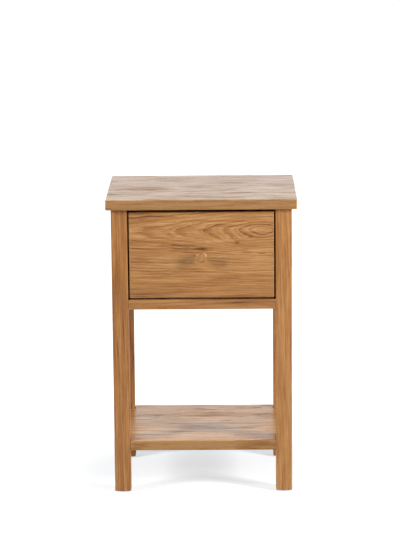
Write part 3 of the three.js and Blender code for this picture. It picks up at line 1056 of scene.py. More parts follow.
def spin_profile(profile: Sequence[tuple[float, float]], steps: int) -> Mesh:
    """Turns a profile round Z.

    Args:
        profile: Pairs of radius and height, from the axis back to the axis.
        steps: How many steps the full turn takes.

    Returns:
        A closed mesh.
    """
    bm = bmesh.new()
    verts = [bm.verts.new((radius, 0.0, height)) for radius, height in profile]
    edges = [bm.edges.new(pair) for pair in zip(verts, verts[1:])]
    bmesh.ops.spin(
        bm, geom=verts + edges, cent=ORIGIN, axis=UP, angle=math.tau, steps=steps, use_merge=True,
        use_duplicate=False,
    )
    bmesh.ops.remove_doubles(bm, verts=bm.verts, dist=1e-7)
    bmesh.ops.recalc_face_normals(bm, faces=bm.faces)
    return bm


def put(bm: Mesh, towards: Vector, at: Vector) -> None:
    """Turns a mesh from +Z to a direction and moves its origin to a place."""
    turn = UP.rotation_difference(towards).to_matrix().to_4x4()
    bmesh.ops.transform(bm, matrix=Matrix.Translation(at) @ turn, verts=bm.verts)


def copy_node(node: str) -> Mesh:
    """A merged copy of a CAD node with its flat faces made whole.

    Args:
        node: The CAD node's name.

    Returns:
        A mesh of the same solid.
    """
    bm = bmesh.new()
    bm.from_mesh(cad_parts[node].data)
    bmesh.ops.remove_doubles(bm, verts=bm.verts, dist=1e-6)
    bmesh.ops.dissolve_limit(bm, angle_limit=FLAT_ANGLE, verts=bm.verts, edges=bm.edges)
    return bm


def make_object(bm: Mesh, name: str, material: Material) -> bpy.types.Object:
    """Makes an object of a mesh, at the origin, with its faces smooth and its flats kept flat.

    Args:
        bm: The mesh, which is freed.
        name: The piece's name.
        material: Its finish.

    Returns:
        The new object, linked to the scene.
    """
    mesh = bpy.data.meshes.new(name)
    bm.to_mesh(mesh)
    bm.free()
    keep_creases(mesh)
    mesh.materials.append(material)
    piece = bpy.data.objects.new(name, mesh)
    bpy.context.scene.collection.objects.link(piece)
    return piece


def grow(bm: Mesh, margin: float) -> Mesh:
    """Moves every face of a mesh outwards by a margin.

    Args:
        bm: The mesh, which is changed.
        margin: How far its faces move.

    Returns:
        The same mesh.
    """
    bm.normal_update()
    moves = [vert.normal * vert.calc_shell_factor() * margin for vert in bm.verts]
    for vert, move in zip(bm.verts, moves):
        vert.co += move
    return bm


def cut_joints(
    piece: bpy.types.Object, nodes: Sequence[str] = (), blocks: Sequence[Block] = (),
    bores: Sequence[Mesh] = (),
) -> None:
    """Cuts a board for the pieces that go into it.

    Args:
        piece: The board that is cut.
        nodes: The CAD nodes that go into it, which are cut a hair loose.
        blocks: Plain blocks to cut away.
        bores: Other solids to cut away, which are freed.
    """
    solids = [grow(copy_node(node), JOINT_GAP) for node in nodes]
    solids += [start_block(block) for block in blocks]
    solids += list(bores)
    tools = []
    for number, solid in enumerate(solids):
        tool = make_object(solid, f"{piece.name}_tool_{number}", piece.data.materials[0])
        cut = piece.modifiers.new("joint", "BOOLEAN")
        cut.operation = "DIFFERENCE"
        cut.solver = "EXACT"
        cut.object = tool
        tools.append(tool)
    graph = bpy.context.evaluated_depsgraph_get()
    result = bpy.data.meshes.new_from_object(piece.evaluated_get(graph))
    piece.modifiers.clear()
    piece.data = result
    keep_creases(piece.data)
    for tool in tools:
        mesh = tool.data
        bpy.data.objects.remove(tool)
        bpy.data.meshes.remove(mesh)


def keep_creases(mesh: bpy.types.Mesh) -> None:
    """Shades a mesh smooth, with its square edges left sharp."""
    mesh.shade_smooth()
    mesh.set_sharp_from_angle(angle=CREASE_ANGLE)


def flatten_shading(piece: bpy.types.Object) -> None:
    """Lets big flat faces keep their own normals beside small rounded ones.

    Args:
        piece: The piece.
    """
    weighted = piece.modifiers.new("flat_faces", "WEIGHTED_NORMAL")
    weighted.mode = "FACE_AREA"
    weighted.weight = 50
    weighted.keep_sharp = True


def deliver(piece: bpy.types.Object, body: Body, slot: str, *nodes: str) -> None:
    """Fixes a finished piece to its body and reports it.

    Args:
        piece: The piece, in place.
        body: What it moves with.
        slot: Not used.
        nodes: The CAD nodes that it stands for.
    """
    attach(piece, body.value)
    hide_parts(*nodes)
    LOG.info("%s: %d faces, rides on %s", piece.name, len(piece.data.polygons), body.value)


# ---------------------------------------------------------------- the makers


@dataclass(frozen=True)
class Part:
    """A piece to deliver: the CAD node that it stands for, its name, its body and its material slot."""

    node: str
    name: str
    body: Body
    slot: str


@dataclass
class Workshop:
    """What every maker shares: the effects, and the last steps of a board."""

    effects: Effects = field(default_factory=Effects)

    def board(
        self, bm: Mesh, part: Part, finish: WoodFinish, nodes: Sequence[str] = (),
        blocks: Sequence[Block] = (), bores: Sequence[Mesh] = (),
    ) -> None:
        """Turns a shaped mesh into a finished board.

        Args:
            bm: The board's mesh, which is freed.
            part: What it is delivered as.
            finish: Its wood.
            nodes: The CAD nodes that go into it.
            blocks: Plain blocks to cut away.
            bores: Other solids to cut away, which are freed.
        """
        piece = make_object(bm, part.name, finish.make(self.effects, Block.of(part.node)))
        if nodes or blocks or bores:
            cut_joints(piece, nodes, blocks, bores)
        flatten_shading(piece)
        deliver(piece, part.body, part.slot, part.node)


@dataclass
class TableTop:
    """The top, glued up from wide staves, with rounded corners and eased arrises."""

    corner_radius: float = 0.0036
    arris_radius: float = 0.0019
    finish: WoodFinish = WoodFinish(
        name="oak_top", timber=GOLDEN_OAK, lacquer=0.5, pith=(0.0, 0.05, -0.11), ring_width=0.0062,
        taper=0.05, ring_contrast=0.34, streak_contrast=3.0, gloss_streaks=1.5, marks=0.45,
        drift_contrast=0.35, depth=0.24, seed=3.1,
        staves=Staves(width=0.0534, length=0.9, edge=-0.16, first_butt=-0.45, contrast=0.2),
        patches=(
            Patch((-0.119, -0.02, 0.0105), (0.066, 0.038, 0.03), 0.15, ragged=2.2, dull=0.17),
            # Painted light: the front face is painted a little paler than the top face of the same board, and
            # made duller.
            Patch((0.0, -0.16, 0.0), (0.6, 0.005, 0.1), -0.04, ragged=0.1, dull=0.4),
        ),
    )

    def build(self, shop: Workshop) -> None:
        """Makes the top and bores it for its screws.

        Args:
            shop: The shared effects.
        """
        bm = start_block(Block.of("table_top"))
        upright = [edge for edge in bm.edges if lies_along(edge, Axis.Z)]
        round_over(bm, upright, self.corner_radius, segments=6)
        rims = [edge for edge in bm.edges if len({round(v.co.z, 5) for v in edge.verts}) == 1]
        rims = [edge for edge in rims if edge.calc_face_angle(0.0) > CORNER_ANGLE]
        round_over(bm, rims, self.arris_radius, segments=4)
        part = Part("table_top", "top_board", Body.TABLE, "oak_top")
        shop.board(bm, part, self.finish, [f"top_screw_{corner}" for corner in CORNERS])


@dataclass
class Legs:
    """Four square legs, mortised for the aprons and bored for the dowels and glides."""

    arris_radius: float = 0.0016
    tones: tuple[float, ...] = (0.47, 0.36, 0.42, 0.4)
    finish: WoodFinish = WoodFinish(
        name="oak_leg", timber=WARM_OAK, grain=Grain.ALONG_Z, taper=0.012, wander=0.004,
        ring_contrast=0.34, streak_contrast=2.2, marks=0.12,
        patches=(Patch((-0.27, 0.0, 0.0), (0.16, 0.1, 0.1), -0.13, ragged=0.6),),
    )

    def build(self, shop: Workshop) -> None:
        """Makes the four legs.

        Args:
            shop: The shared effects.
        """
        for number, (corner, tone) in enumerate(zip(CORNERS, self.tones)):
            end, side = corner.split("_")
            finish = replace(
                self.finish, name=f"oak_leg_{corner}",
                pith=(0.0, 0.05 + 0.011 * number, 0.06 - 0.017 * number),
                ring_width=0.0031 + 0.0004 * number, depth=tone, seed=12.7 + 2.3 * number,
            )
            joined = [f"side_apron_{side}", f"glide_{corner}", f"shelf_dowel_{corner}"]
            if end == "back":
                joined.append("back_apron")
            else:
                joined += [dowel for dowel in RAIL_DOWELS if side in dowel]
            node = f"leg_{corner}"
            bm = eased_block(node, self.arris_radius, segments=4)
            shop.board(bm, Part(node, f"{node}_square", Body.TABLE, "oak_frame"), finish, joined)


@dataclass
class Aprons:
    """The two side boards and the back board, tenoned at their ends."""

    ease: float = 0.0005
    finish: WoodFinish = WoodFinish(name="oak_apron", ring_width=0.0044, taper=0.055, wander=0.008)

    def build(self, shop: Workshop) -> None:
        """Makes the three aprons.

        Args:
            shop: The shared effects.
        """
        boards = (
            ("side_apron_left", Grain.ALONG_Y, 0.43, 0.0), ("side_apron_right", Grain.ALONG_Y, 0.38, 0.0),
            ("back_apron", Grain.ALONG_X, 0.4, 0.05),
        )
        for number, (node, grain, tone, lean) in enumerate(boards):
            finish = replace(
                self.finish, name=f"oak_{node}", grain=grain,
                pith=(0.0, 0.045 + lean, 0.018 - 0.03 * number), depth=tone, seed=31.0 + 3.7 * number,
            )
            bm = copy_node(node)
            ease_convex(bm, self.ease)
            shop.board(bm, Part(node, f"{node}_board", Body.TABLE, "oak_frame"), finish)


@dataclass
class Rail:
    """The rail under the drawer, dowelled to the front legs."""

    arris_radius: float = 0.0012
    finish: WoodFinish = WoodFinish(
        name="oak_rail", pith=(0.0, 0.06, 0.045), ring_width=0.0036, taper=0.015, wander=0.004,
        ring_contrast=0.36, depth=0.42, seed=41.3,
    )

    def build(self, shop: Workshop) -> None:
        """Makes the rail and bores its ends.

        Args:
            shop: The shared effects.
        """
        bm = eased_block("drawer_rail", self.arris_radius, segments=3)
        part = Part("drawer_rail", "drawer_rail_board", Body.TABLE, "oak_frame")
        shop.board(bm, part, self.finish, RAIL_DOWELS)


@dataclass
class Shelf:
    """The low shelf, glued up from staves and notched round the legs."""

    arris_radius: float = 0.0016
    notch_gap: float = 0.0003
    notch_overrun: float = 0.01
    finish: WoodFinish = WoodFinish(
        name="oak_shelf", timber=GOLDEN_OAK, lacquer=0.5, pith=(0.0, 0.07, -0.09), ring_width=0.0046,
        taper=0.035, ring_contrast=0.36, streak_contrast=3.0, gloss_streaks=1.5, marks=0.6,
        drift_contrast=0.3, depth=0.2, seed=7.7,
        staves=Staves(width=0.0497, length=0.42, edge=-0.149, first_butt=0.066, stagger=0.43, contrast=0.22),
        patches=(
            # Painted light: the front face is painted much paler than the top face of the same board, and
            # made duller.
            Patch((0.0, -0.149, 0.0), (0.6, 0.005, 0.1), -0.6, ragged=0.1, dull=0.35),
            Patch((0.134, -0.149, 0.0), (0.085, 0.006, 0.1), 0.74, ragged=0.1),
            Patch((-0.01, 0.064, 0.0), (0.14, 0.022, 0.1), 0.22, ragged=1.6, dull=0.1),
            # Painted light: paler and glossier where the softboxes' shadows of the legs cross on the shelf,
            # to lighten that shadow.
            Patch((0.03, -0.036, 0.0), (0.06, 0.03, 0.1), -0.16, ragged=0.8, dull=-0.03),
        ),
    )

    def build(self, shop: Workshop) -> None:
        """Makes the shelf, notches it and bores it for its dowels.

        Args:
            shop: The shared effects.
        """
        block = Block.of("shelf")
        board = make_object(start_block(block), "shelf_board", self.finish.make(shop.effects, block))
        cut_joints(board, blocks=[self._notch(f"leg_{corner}") for corner in CORNERS])
        bm = bmesh.new()
        bm.from_mesh(board.data)
        bmesh.ops.dissolve_limit(bm, angle_limit=FLAT_ANGLE, verts=bm.verts, edges=bm.edges)
        level = [edge for edge in bm.edges if not lies_along(edge, Axis.Z)]
        round_over(bm, level, self.arris_radius, segments=4)
        bm.to_mesh(board.data)
        bm.free()
        keep_creases(board.data)
        cut_joints(board, [f"shelf_dowel_{corner}" for corner in CORNERS])
        flatten_shading(board)
        deliver(board, Body.TABLE, "oak_top", "shelf")

    def _notch(self, leg: str) -> Block:
        """The space that a leg takes from the board, open on its outer sides.

        Args:
            leg: The leg's CAD node.

        Returns:
            The space.
        """
        at = Block.of(leg)
        gap = Vector((self.notch_gap, self.notch_gap, 0.0))
        notch = Block(at.low - gap, at.high + gap)
        for axis in (Axis.X.value, Axis.Y.value):
            if at.middle[axis] < 0.0:
                notch.low[axis] -= self.notch_overrun
            else:
                notch.high[axis] += self.notch_overrun
        return notch


@dataclass
class RunningGear:
    """The strips that the drawer slides between, and its stops."""

    ease: float = 0.0008
    counterbore: float = 0.0105
    screw_seat: float = 0.0003
    tones: tuple[tuple[str, float], ...] = (("runner", 0.36), ("guide", 0.42), ("kicker", 0.3), ("stop", 0.4))
    finish: WoodFinish = replace(
        PLAIN_POPLAR, pith=(0.0, 0.06, 0.03), ring_width=0.0038, wander=0.004, ring_contrast=0.28
    )

    def build(self, shop: Workshop) -> None:
        """Makes the strips and stops of both sides.

        Args:
            shop: The shared effects.
        """
        for number, side in enumerate(SIDES):
            for part, tone in self.tones:
                screws = [f"top_screw_{end}_{side}" for end in ENDS] if part == "kicker" else []
                self._strip(shop, f"drawer_{part}_{side}", tone, 51.0 + 5.1 * number + 7.0 * tone, screws)

    def _strip(self, shop: Workshop, node: str, tone: float, seed: float, screws: Sequence[str]) -> None:
        """Makes one strip.

        Args:
            shop: The shared effects.
            node: The CAD node that it stands for.
            tone: How deep its colour is.
            seed: Varies its grain.
            screws: The screws that it is bored for.
        """
        block = Block.of(node)
        long_way = Grain.ALONG_X if block.size.x > block.size.y else Grain.ALONG_Y
        finish = replace(self.finish, name=f"poplar_{node}", grain=long_way, depth=tone, seed=seed)
        bores = [self._counterbore(screw, block) for screw in screws]
        bm = eased_block(node, self.ease, segments=3)
        part = Part(node, f"{node}_strip", Body.TABLE, "pale_wood")
        shop.board(bm, part, finish, screws, bores=bores)

    def _counterbore(self, screw: str, strip: Block) -> Mesh:
        """The round recess under a screw's head.

        Args:
            screw: The screw's CAD node.
            strip: The strip that it goes through.

        Returns:
            The solid to cut away.
        """
        at = Block.of(screw)
        low = strip.low.z - OVERRUN
        seat = at.low.z + Screws.top.head_height + self.screw_seat
        bm = start_cylinder(self.counterbore / 2, seat - low, segments=40)
        bmesh.ops.translate(bm, verts=bm.verts, vec=(at.middle.x, at.middle.y, (seat + low) / 2))
        return bm


@dataclass
class DrawerBox:
    """The drawer: a crown-cut front on dovetailed sides, with a housed back and a plywood bottom."""

    front_radius: float = 0.0018
    side_ease: float = 0.0009
    bottom_ease: float = 0.0003
    lip_gap: float = 0.0003
    lip_drop: float = 0.0015
    front_finish: WoodFinish = WoodFinish(
        name="oak_drawer_front", ring_width=0.0054, ring_contrast=0.7, streak_contrast=2.1, depth=0.25,
        seed=5.2, crown=Crown(centre=(0.127, -0.01, 0.051), knot=(0.074, -0.01, 0.026)),
        patches=(
            Patch((-0.07, -0.01, 0.0145), (0.1, 0.03, 0.0024), 0.24, ragged=0.9),
            Patch((-0.075, -0.01, 0.0205), (0.09, 0.03, 0.0018), 0.18, ragged=0.9),
            Patch((0.0, -0.01, 0.0145), (0.016, 0.03, 0.0035), 0.34, ragged=0.7),
            Patch((0.02, -0.01, -0.065), (0.4, 0.05, 0.075), 0.17, ragged=0.9),
        ),
    )
    inner_finish: WoodFinish = replace(
        PLAIN_POPLAR, pith=(0.0, 0.035, 0.02), ring_width=0.0052, taper=0.06, wander=0.008,
        ring_contrast=0.3,
    )
    bottom_finish: WoodFinish = replace(
        PLAIN_POPLAR, name="birch_plywood", pith=(0.0, 0.0, -0.35), ring_width=0.0028, taper=0.09,
        wander=0.02, ring_contrast=0.2, streak_contrast=0.7, depth=0.22, seed=71.0, plies=5,
    )

    def build(self, shop: Workshop) -> None:
        """Makes the drawer's five boards.

        Args:
            shop: The shared effects.
        """
        bm = eased_block("drawer_front", self.front_radius, segments=4)
        part = Part("drawer_front", "drawer_front_board", Body.DRAWER, "oak_front")
        joined = ["drawer_side_left", "drawer_side_right", "drawer_bottom", "knob_screw"]
        shop.board(bm, part, self.front_finish, joined)
        for number, side in enumerate(SIDES):
            self._side(shop, f"drawer_side_{side}", number)

        screws = [f"bottom_screw_{side}" for side in SIDES]
        finish = replace(self.inner_finish, name="poplar_drawer_back", depth=0.34, seed=67.0)
        bm = eased_block("drawer_back", self.side_ease, segments=3)
        shop.board(bm, Part("drawer_back", "drawer_back_board", Body.DRAWER, "pale_wood"), finish, screws)
        bm = eased_block("drawer_bottom", self.bottom_ease, segments=2)
        part = Part("drawer_bottom", "drawer_bottom_panel", Body.DRAWER, "plywood")
        shop.board(bm, part, self.bottom_finish, screws)

    def _side(self, shop: Workshop, node: str, number: int) -> None:
        """Makes a side: its tails are what the front's sockets leave.

        Args:
            shop: The shared effects.
            node: The CAD node that it stands for.
            number: Varies its grain.
        """
        block, front = Block.of(node), Block.of("drawer_front")
        bm = start_block(block)
        long_edges = [edge for edge in bm.edges if lies_along(edge, Axis.Y)]
        round_over(bm, long_edges, self.side_ease, segments=4)
        beyond = Vector((OVERRUN, 0.0, OVERRUN))
        lip = Block(block.low - beyond, Vector((block.high.x, front.high.y, front.low.z)) + beyond)
        lip.low.y -= OVERRUN
        lip.high.y += self.lip_gap
        lip.high.z -= self.lip_drop
        housed = [Block.of(board).loose() for board in ("drawer_bottom", "drawer_back")]
        finish = replace(
            self.inner_finish, name=f"poplar_{node}", grain=Grain.ALONG_Y, depth=0.3 + 0.06 * number,
            seed=61.0 + 3.0 * number,
        )
        part = Part(node, f"{node}_board", Body.DRAWER, "pale_wood")
        shop.board(bm, part, finish, ["drawer_front"], blocks=[lip, *housed])


@dataclass
class Knob:
    """The turned knob: a round head on a waisted neck, bored for its screw."""

    steps: int = 72
    steps_between: int = 5
    outline: tuple[tuple[float, float], ...] = (
        (0.63, 0.0), (0.62, 0.04), (0.52, 0.2), (0.58, 0.36), (0.88, 0.52), (1.0, 0.7), (0.9, 0.87),
        (0.55, 0.975), (0.0, 1.0),
    )
    finish: WoodFinish = WoodFinish(
        name="oak_knob", grain=Grain.ALONG_Y, pith=(0.0, 0.03, 0.02), ring_width=0.0024, taper=0.02,
        wander=0.002, ring_contrast=0.5, streak_contrast=2.4, depth=0.3, seed=81.0, roughness=0.2,
    )

    def build(self, shop: Workshop) -> None:
        """Turns the knob and bores it.

        Args:
            shop: The shared effects.
        """
        block = Block.of("drawer_knob")
        radius = block.size.x / 2
        outline = [(across * radius, along * block.size.y) for across, along in self.outline]
        smooth = curve_through(outline, self.steps_between)
        bm = spin_profile([(0.0, 0.0), *smooth], self.steps)
        put(bm, FORWARD, Vector((block.middle.x, block.high.y, block.middle.z)))
        knob = make_object(bm, "drawer_knob_turned", self.finish.make(shop.effects, block))
        cut_joints(knob, ["knob_screw"])
        deliver(knob, Body.DRAWER, "oak_front", "drawer_knob")


@dataclass(frozen=True)
class ScrewKind:
    """One kind of screw, its sizes in metres."""

    shank: float
    head: float
    head_height: float
    length: float
    flat_head: bool = False
    pitch: float = 0.0019
    thread_height: float = 0.00035

    @property
    def proud(self) -> float:
        """How far the head stands above its seat."""
        return 0.0 if self.flat_head else self.head_height

    @property
    def tip_start(self) -> float:
        """Where the shank begins to taper to its point."""
        return self.length - 3.0 * (self.shank / 2)

    def profile(self) -> Outline:
        """The screw's outline, as pairs of radius and height above its seat.

        Returns:
            The outline, from the middle of the head to the tip.
        """
        shank, head, height = self.shank / 2, self.head / 2, self.head_height
        if self.flat_head:
            outline = [(0.0, 0.0), (head * 0.96, 0.0), (head, 0.00015), (shank, height)]
        else:
            dome = ((0.0, -1.0), (0.5, -1.0), (0.8, -0.82), (0.97, -0.45), (1.0, -0.1), (0.97, 0.0))
            outline = [*((across * head, along * height) for across, along in dome), (shank, 0.0)]
        return [*outline, (shank, self.tip_start), (0.0, self.length)]


@dataclass
class Screws:
    """The knob's screw, the top's four and the bottom's two, with wound threads and cross recesses."""

    knob: ScrewKind = ScrewKind(shank=0.0034, head=0.009, head_height=0.0026, length=0.034)
    top: ScrewKind = ScrewKind(shank=0.0034, head=0.0085, head_height=0.003, length=0.03)
    bottom: ScrewKind = ScrewKind(
        shank=0.0024, head=0.006, head_height=0.0019, length=0.017, flat_head=True, thread_height=0.0003
    )
    recess: Triple = (0.55, 0.11, 0.5)
    plain_share: float = 0.3
    steps_per_turn: int = 24

    def build(self, shop: Workshop) -> None:
        """Makes all seven screws.

        Args:
            shop: The shared effects.
        """
        steel = SteelFinish().make(shop.effects)
        at = Block.of("knob_screw")
        seat = Vector((at.middle.x, at.high.y - self.knob.proud, at.middle.z))
        self._screw(self.knob, "knob_screw", FORWARD, seat, Body.DRAWER, steel)
        upright = [(f"top_screw_{corner}", self.top, Body.TABLE) for corner in CORNERS]
        upright += [(f"bottom_screw_{side}", self.bottom, Body.DRAWER) for side in SIDES]
        for node, kind, body in upright:
            at = Block.of(node)
            seat = Vector((at.middle.x, at.middle.y, at.low.z + kind.proud))
            self._screw(kind, node, UP, seat, body, steel)

    def _screw(
        self, kind: ScrewKind, node: str, tip: Vector, seat: Vector, body: Body, steel: Material,
    ) -> None:
        """Makes one screw.

        Args:
            kind: Its sizes.
            node: The CAD node that it stands for.
            tip: The way that its tip points.
            seat: The middle of its head's seat, or of a flat head's face.
            body: What it moves with.
            steel: Its finish.
        """
        screw = make_object(spin_profile(kind.profile(), 40), f"{node}_steel", steel)
        face = Vector((0.0, 0.0, -kind.proud))
        long, wide, deep = self.recess
        arm = Vector((kind.head / 2 * long, kind.head / 2 * wide, kind.head_height * deep))
        cut_joints(screw, blocks=[Block(face - reach, face + reach) for reach in (arm, arm.yxz)])
        turned = bmesh.new()
        turned.from_mesh(screw.data)
        self._add_thread(turned, kind)
        put(turned, tip, seat)
        turned.to_mesh(screw.data)
        turned.free()
        keep_creases(screw.data)
        deliver(screw, body, "steel", node)

    def _add_thread(self, bm: Mesh, kind: ScrewKind) -> None:
        """Winds a thread round the shank, up to where it tapers.

        Args:
            bm: The screw's mesh.
            kind: Its sizes.
        """
        shank = kind.shank / 2
        start = kind.head_height if kind.flat_head else 0.0
        low = start + (kind.length - start) * self.plain_share
        turns = int((kind.tip_start - low) / kind.pitch)
        half, root = kind.pitch * 0.3, shank * 0.96
        corners = [(root, -half), (shank + kind.thread_height, 0.0), (root, half)]
        verts = [bm.verts.new((radius, 0.0, low + height)) for radius, height in corners]
        edges = [bm.edges.new((verts[i], verts[(i + 1) % 3])) for i in range(3)]
        wound = bmesh.ops.spin(
            bm, geom=verts + edges, cent=ORIGIN, axis=UP, dvec=UP * (kind.pitch / self.steps_per_turn),
            angle=math.tau * turns, steps=self.steps_per_turn * turns, use_merge=False,
            use_duplicate=False,
        )
        last = [item for item in wound["geom_last"] if isinstance(item, Edge)]
        bmesh.ops.contextual_create(bm, geom=last)
        bmesh.ops.contextual_create(bm, geom=edges)
        bmesh.ops.recalc_face_normals(bm, faces=bm.faces)


@dataclass
class Dowels:
    """Fluted beech dowels."""

    flutes: int = 20
    facets_per_flute: int = 3
    flute_depth: float = 0.05
    chamfer: float = 0.0008
    finish: WoodFinish = replace(
        PLAIN_POPLAR, timber=BEECH, pith=(0.0, 0.02, 0.03), ring_width=0.0021, wander=0.001,
        ring_contrast=0.25, streak_contrast=0.9, depth=0.36,
    )

    def build(self, shop: Workshop) -> None:
        """Makes the eight dowels.

        Args:
            shop: The shared effects.
        """
        nodes = [*RAIL_DOWELS, *(f"shelf_dowel_{corner}" for corner in CORNERS)]
        for number, node in enumerate(nodes):
            block = Block.of(node)
            finish = replace(self.finish, name=f"beech_{node}", seed=91.0 + 1.9 * number)
            material = finish.make(shop.effects, block)
            dowel = make_object(self._shape(block), f"{node}_fluted", material)
            deliver(dowel, Body.TABLE, "beech", node)

    def _shape(self, block: Block) -> Mesh:
        """A chamfered cylinder along X with shallow flutes, in the place of a block.

        Args:
            block: The place.

        Returns:
            The mesh.
        """
        bm = start_cylinder(block.size.z / 2, block.size.x, segments=self.flutes * self.facets_per_flute)
        ends = [edge for edge in bm.edges if not lies_along(edge, Axis.Z)]
        round_over(bm, ends, self.chamfer, segments=2)
        for vert in bm.verts:
            turn = math.atan2(vert.co.y, vert.co.x) * self.flutes
            dip = 1.0 - self.flute_depth * max(0.0, math.cos(turn))
            vert.co.x *= dip
            vert.co.y *= dip
        put(bm, RIGHT, block.middle)
        return bm


@dataclass
class Glides:
    """Nail-on glides under the legs."""

    nail_radius: float = 0.0012
    nail_point: float = 0.0026
    collar: float = 0.0006
    thickness: float = 0.002
    edge: float = 0.0007
    hollow: float = 0.00025

    def build(self, shop: Workshop) -> None:
        """Makes the four glides.

        Args:
            shop: The shared effects.
        """
        nylon = PlasticFinish().make(shop.effects)
        for corner in CORNERS:
            node = f"glide_{corner}"
            block = Block.of(node)
            bm = spin_profile(self._profile(block.size.x / 2, block.size.z), 48)
            bmesh.ops.translate(bm, verts=bm.verts, vec=(block.middle.x, block.middle.y, block.low.z))
            deliver(make_object(bm, f"{node}_nylon", nylon), Body.TABLE, "nylon", node)

    def _profile(self, disc: float, tip: float) -> Outline:
        """The glide's outline, for a disc's radius and a nail's height.

        Args:
            disc: The disc's radius.
            tip: The nail's height.

        Returns:
            Pairs of radius and height.
        """
        nail, top, edge = self.nail_radius, self.thickness, self.edge
        return [
            (0.0, self.hollow), (disc * 0.3, self.hollow * 0.88), (disc * 0.62, 0.0), (disc - edge, 0.0),
            (disc - edge * 0.3, edge * 0.3), (disc, edge), (disc, top - edge * 0.4),
            (disc - edge * 0.4, top), (nail * 1.8, top), (nail, top + self.collar),
            (nail, tip - self.nail_point), (0.0, tip),
        ]


# ---------------------------------------------------------------- the studio


@dataclass(frozen=True)
class Softbox:
    """A softbox: the way to it round the table and above the floor, in degrees, its size and power."""

    azimuth: float
    elevation: float
    distance: float
    width: float
    height: float
    power: float

    @property
    def away(self) -> Vector:
        """The way from the table to the softbox.

        Returns:
            The unit vector.
        """
        around, above = math.radians(self.azimuth), math.radians(self.elevation)
        level = math.cos(above)
        return Vector((math.sin(around) * level, -math.cos(around) * level, math.sin(above)))


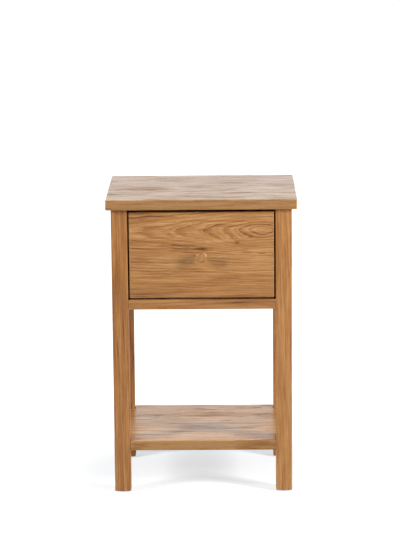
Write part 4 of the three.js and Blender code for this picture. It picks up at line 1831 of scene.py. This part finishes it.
@dataclass
class Studio:
    """A pale floor, a bright backdrop, two softboxes at the front corners, and the camera."""

    floor_side: float = 60.0
    floor_colour: Colour = (0.64, 0.65, 0.66)
    # The floor's glow for the camera is painted light, and its dip under the table is a painted shadow.
    floor_glow: float = 0.62
    cool_glow: Colour = (0.895, 0.956, 1.0)
    shade_middle: Triple = (0.0, 0.075, 0.0)
    shade_reach: Triple = (0.17, 0.1, 1.0)
    shade_depth: float = 0.06
    backdrop_light: float = 1.31
    backdrop_fade: tuple[float, float] = (14.0, 36.0)
    room_light: float = 0.07
    softboxes: tuple[Softbox, ...] = (
        Softbox(azimuth=60.0, elevation=20.5, distance=3.0, width=0.62, height=1.0, power=88.5),
        Softbox(azimuth=-62.0, elevation=23.5, distance=3.0, width=0.62, height=1.0, power=63.5),
    )
    light_target: Triple = (0.0, 0.0, 0.4)
    camera_place: Triple = (0.0477, -4.8915, 1.4555)
    camera_yaw: float = 0.618
    camera_pitch: float = -11.479
    camera_roll: float = -0.523
    lens: float = 156.35
    sensor_width: float = 36.0
    far_clip: float = 100.0

    def build(self) -> None:
        """Sets up the floor, the light and the camera."""
        self._floor()
        self._world()
        for number, softbox in enumerate(self.softboxes):
            self._softbox(softbox, number)
        self._camera()
        bpy.context.scene.view_settings.view_transform = "Standard"
        LOG.info("studio: floor, world light, %d softboxes, camera", len(self.softboxes))

    def _floor(self) -> None:
        """Lays the floor, which glows for the camera as painted light, with a painted shadow under the table,
        and can be seen through from below.
        """
        bm = bmesh.new()
        bmesh.ops.create_grid(bm, x_segments=1, y_segments=1, size=self.floor_side / 2)
        material, w, shader, place = start_material("studio_floor")
        dull = tuple(channel * 0.985 for channel in self.floor_colour)
        seen = w.add("ShaderNodeLightPath").outputs["Is Camera Ray"]
        away = w.vector("LENGTH", place)
        # Painted light: the glow is cooler near the table, to offset the warm bounce in its shadow, and rises
        # to full white away from it, washing out the table's cast shadows there.
        near = w.spread(away, 0.12, 0.45, 1.0, 0.0)
        glow = w.spread(away, 0.2, 0.55, self.floor_glow, 1.0)
        # Painted shadow: the glow dips in a soft patch under the middle of the table.
        offset = w.vector("SUBTRACT", place, self.shade_middle)
        reach = w.vector("LENGTH", w.vector("DIVIDE", offset, self.shade_reach))
        glow = w.minus(glow, w.spread(reach, 0.1, 1.1, self.shade_depth, 0.0))
        below = w.add("ShaderNodeNewGeometry").outputs["Backfacing"]
        w.fill(
            shader, Base_Color=w.mix(w.noise(place, FLOOR_CLOUDS), self.floor_colour, dull),
            Roughness=0.9, Specular_IOR_Level=0.1, Emission_Color=w.mix(near, WHITE, self.cool_glow),
            Emission_Strength=w.times(seen, glow), Alpha=w.minus(1.0, below),
        )
        floor = make_object(bm, "studio_floor", material)

    def _world(self) -> None:
        """Makes the white backdrop behind the table and the dimmer room round it."""
        world = bpy.data.worlds.new("studio_surround")
        bpy.context.scene.world = world
        world.use_nodes = True
        w = Wiring(world.node_tree)
        _, behind, up = w.parts(w.add("ShaderNodeTexCoord").outputs["Generated"])
        full, none = (math.sin(math.radians(height)) for height in self.backdrop_fade)
        share = w.times(w.spread(up, full, none, 1.0, 0.0), w.spread(behind, -0.3, 0.4))
        light = w.scaled(share, self.backdrop_light - self.room_light, self.room_light)
        seen = w.add("ShaderNodeLightPath").outputs["Is Camera Ray"]
        background = world.node_tree.nodes["Background"].inputs
        w.fill(background, Strength=w.plus(light, seen), Color=WHITE)

    def _softbox(self, softbox: Softbox, number: int) -> None:
        """Hangs one softbox, aimed at the drawer.

        Args:
            softbox: Its place, size and power.
            number: Its place in the set.
        """
        lamp = bpy.data.lights.new(f"softbox_{number}", "AREA")
        lamp.shape = "RECTANGLE"
        lamp.size = softbox.width
        lamp.size_y = softbox.height
        lamp.energy = softbox.power
        holder = bpy.data.objects.new(lamp.name, lamp)
        holder.location = Vector(self.light_target) + softbox.away * softbox.distance
        holder.rotation_euler = (-softbox.away).to_track_quat("-Z", "Y").to_euler()
        bpy.context.scene.collection.objects.link(holder)

    def _camera(self) -> None:
        """Sets the camera."""
        data = bpy.data.cameras.new("studio_camera")
        data.lens = self.lens
        data.sensor_width = self.sensor_width
        data.clip_end = self.far_clip
        camera = bpy.data.objects.new("studio_camera", data)
        turns = (self.camera_yaw, "Z"), (90.0 + self.camera_pitch, "X"), (self.camera_roll, "Z")
        yaw, pitch, roll = (Matrix.Rotation(math.radians(angle), 4, axis) for angle, axis in turns)
        camera.matrix_world = Matrix.Translation(self.camera_place) @ yaw @ pitch @ roll
        bpy.context.scene.collection.objects.link(camera)
        bpy.context.scene.camera = camera


# ---------------------------------------------------------------- putting it together


def main() -> None:
    """Builds the studio and every part of the table."""
    logging.basicConfig(level=logging.INFO, format="%(name)s: %(message)s")
    Studio().build()
    shop = Workshop()
    makers = (
        TableTop(), Legs(), Aprons(), Rail(), Shelf(), RunningGear(), DrawerBox(), Knob(), Screws(),
        Dowels(), Glides(),
    )
    for maker in makers:
        maker.build(shop)


if __name__ == "__main__":
    main()
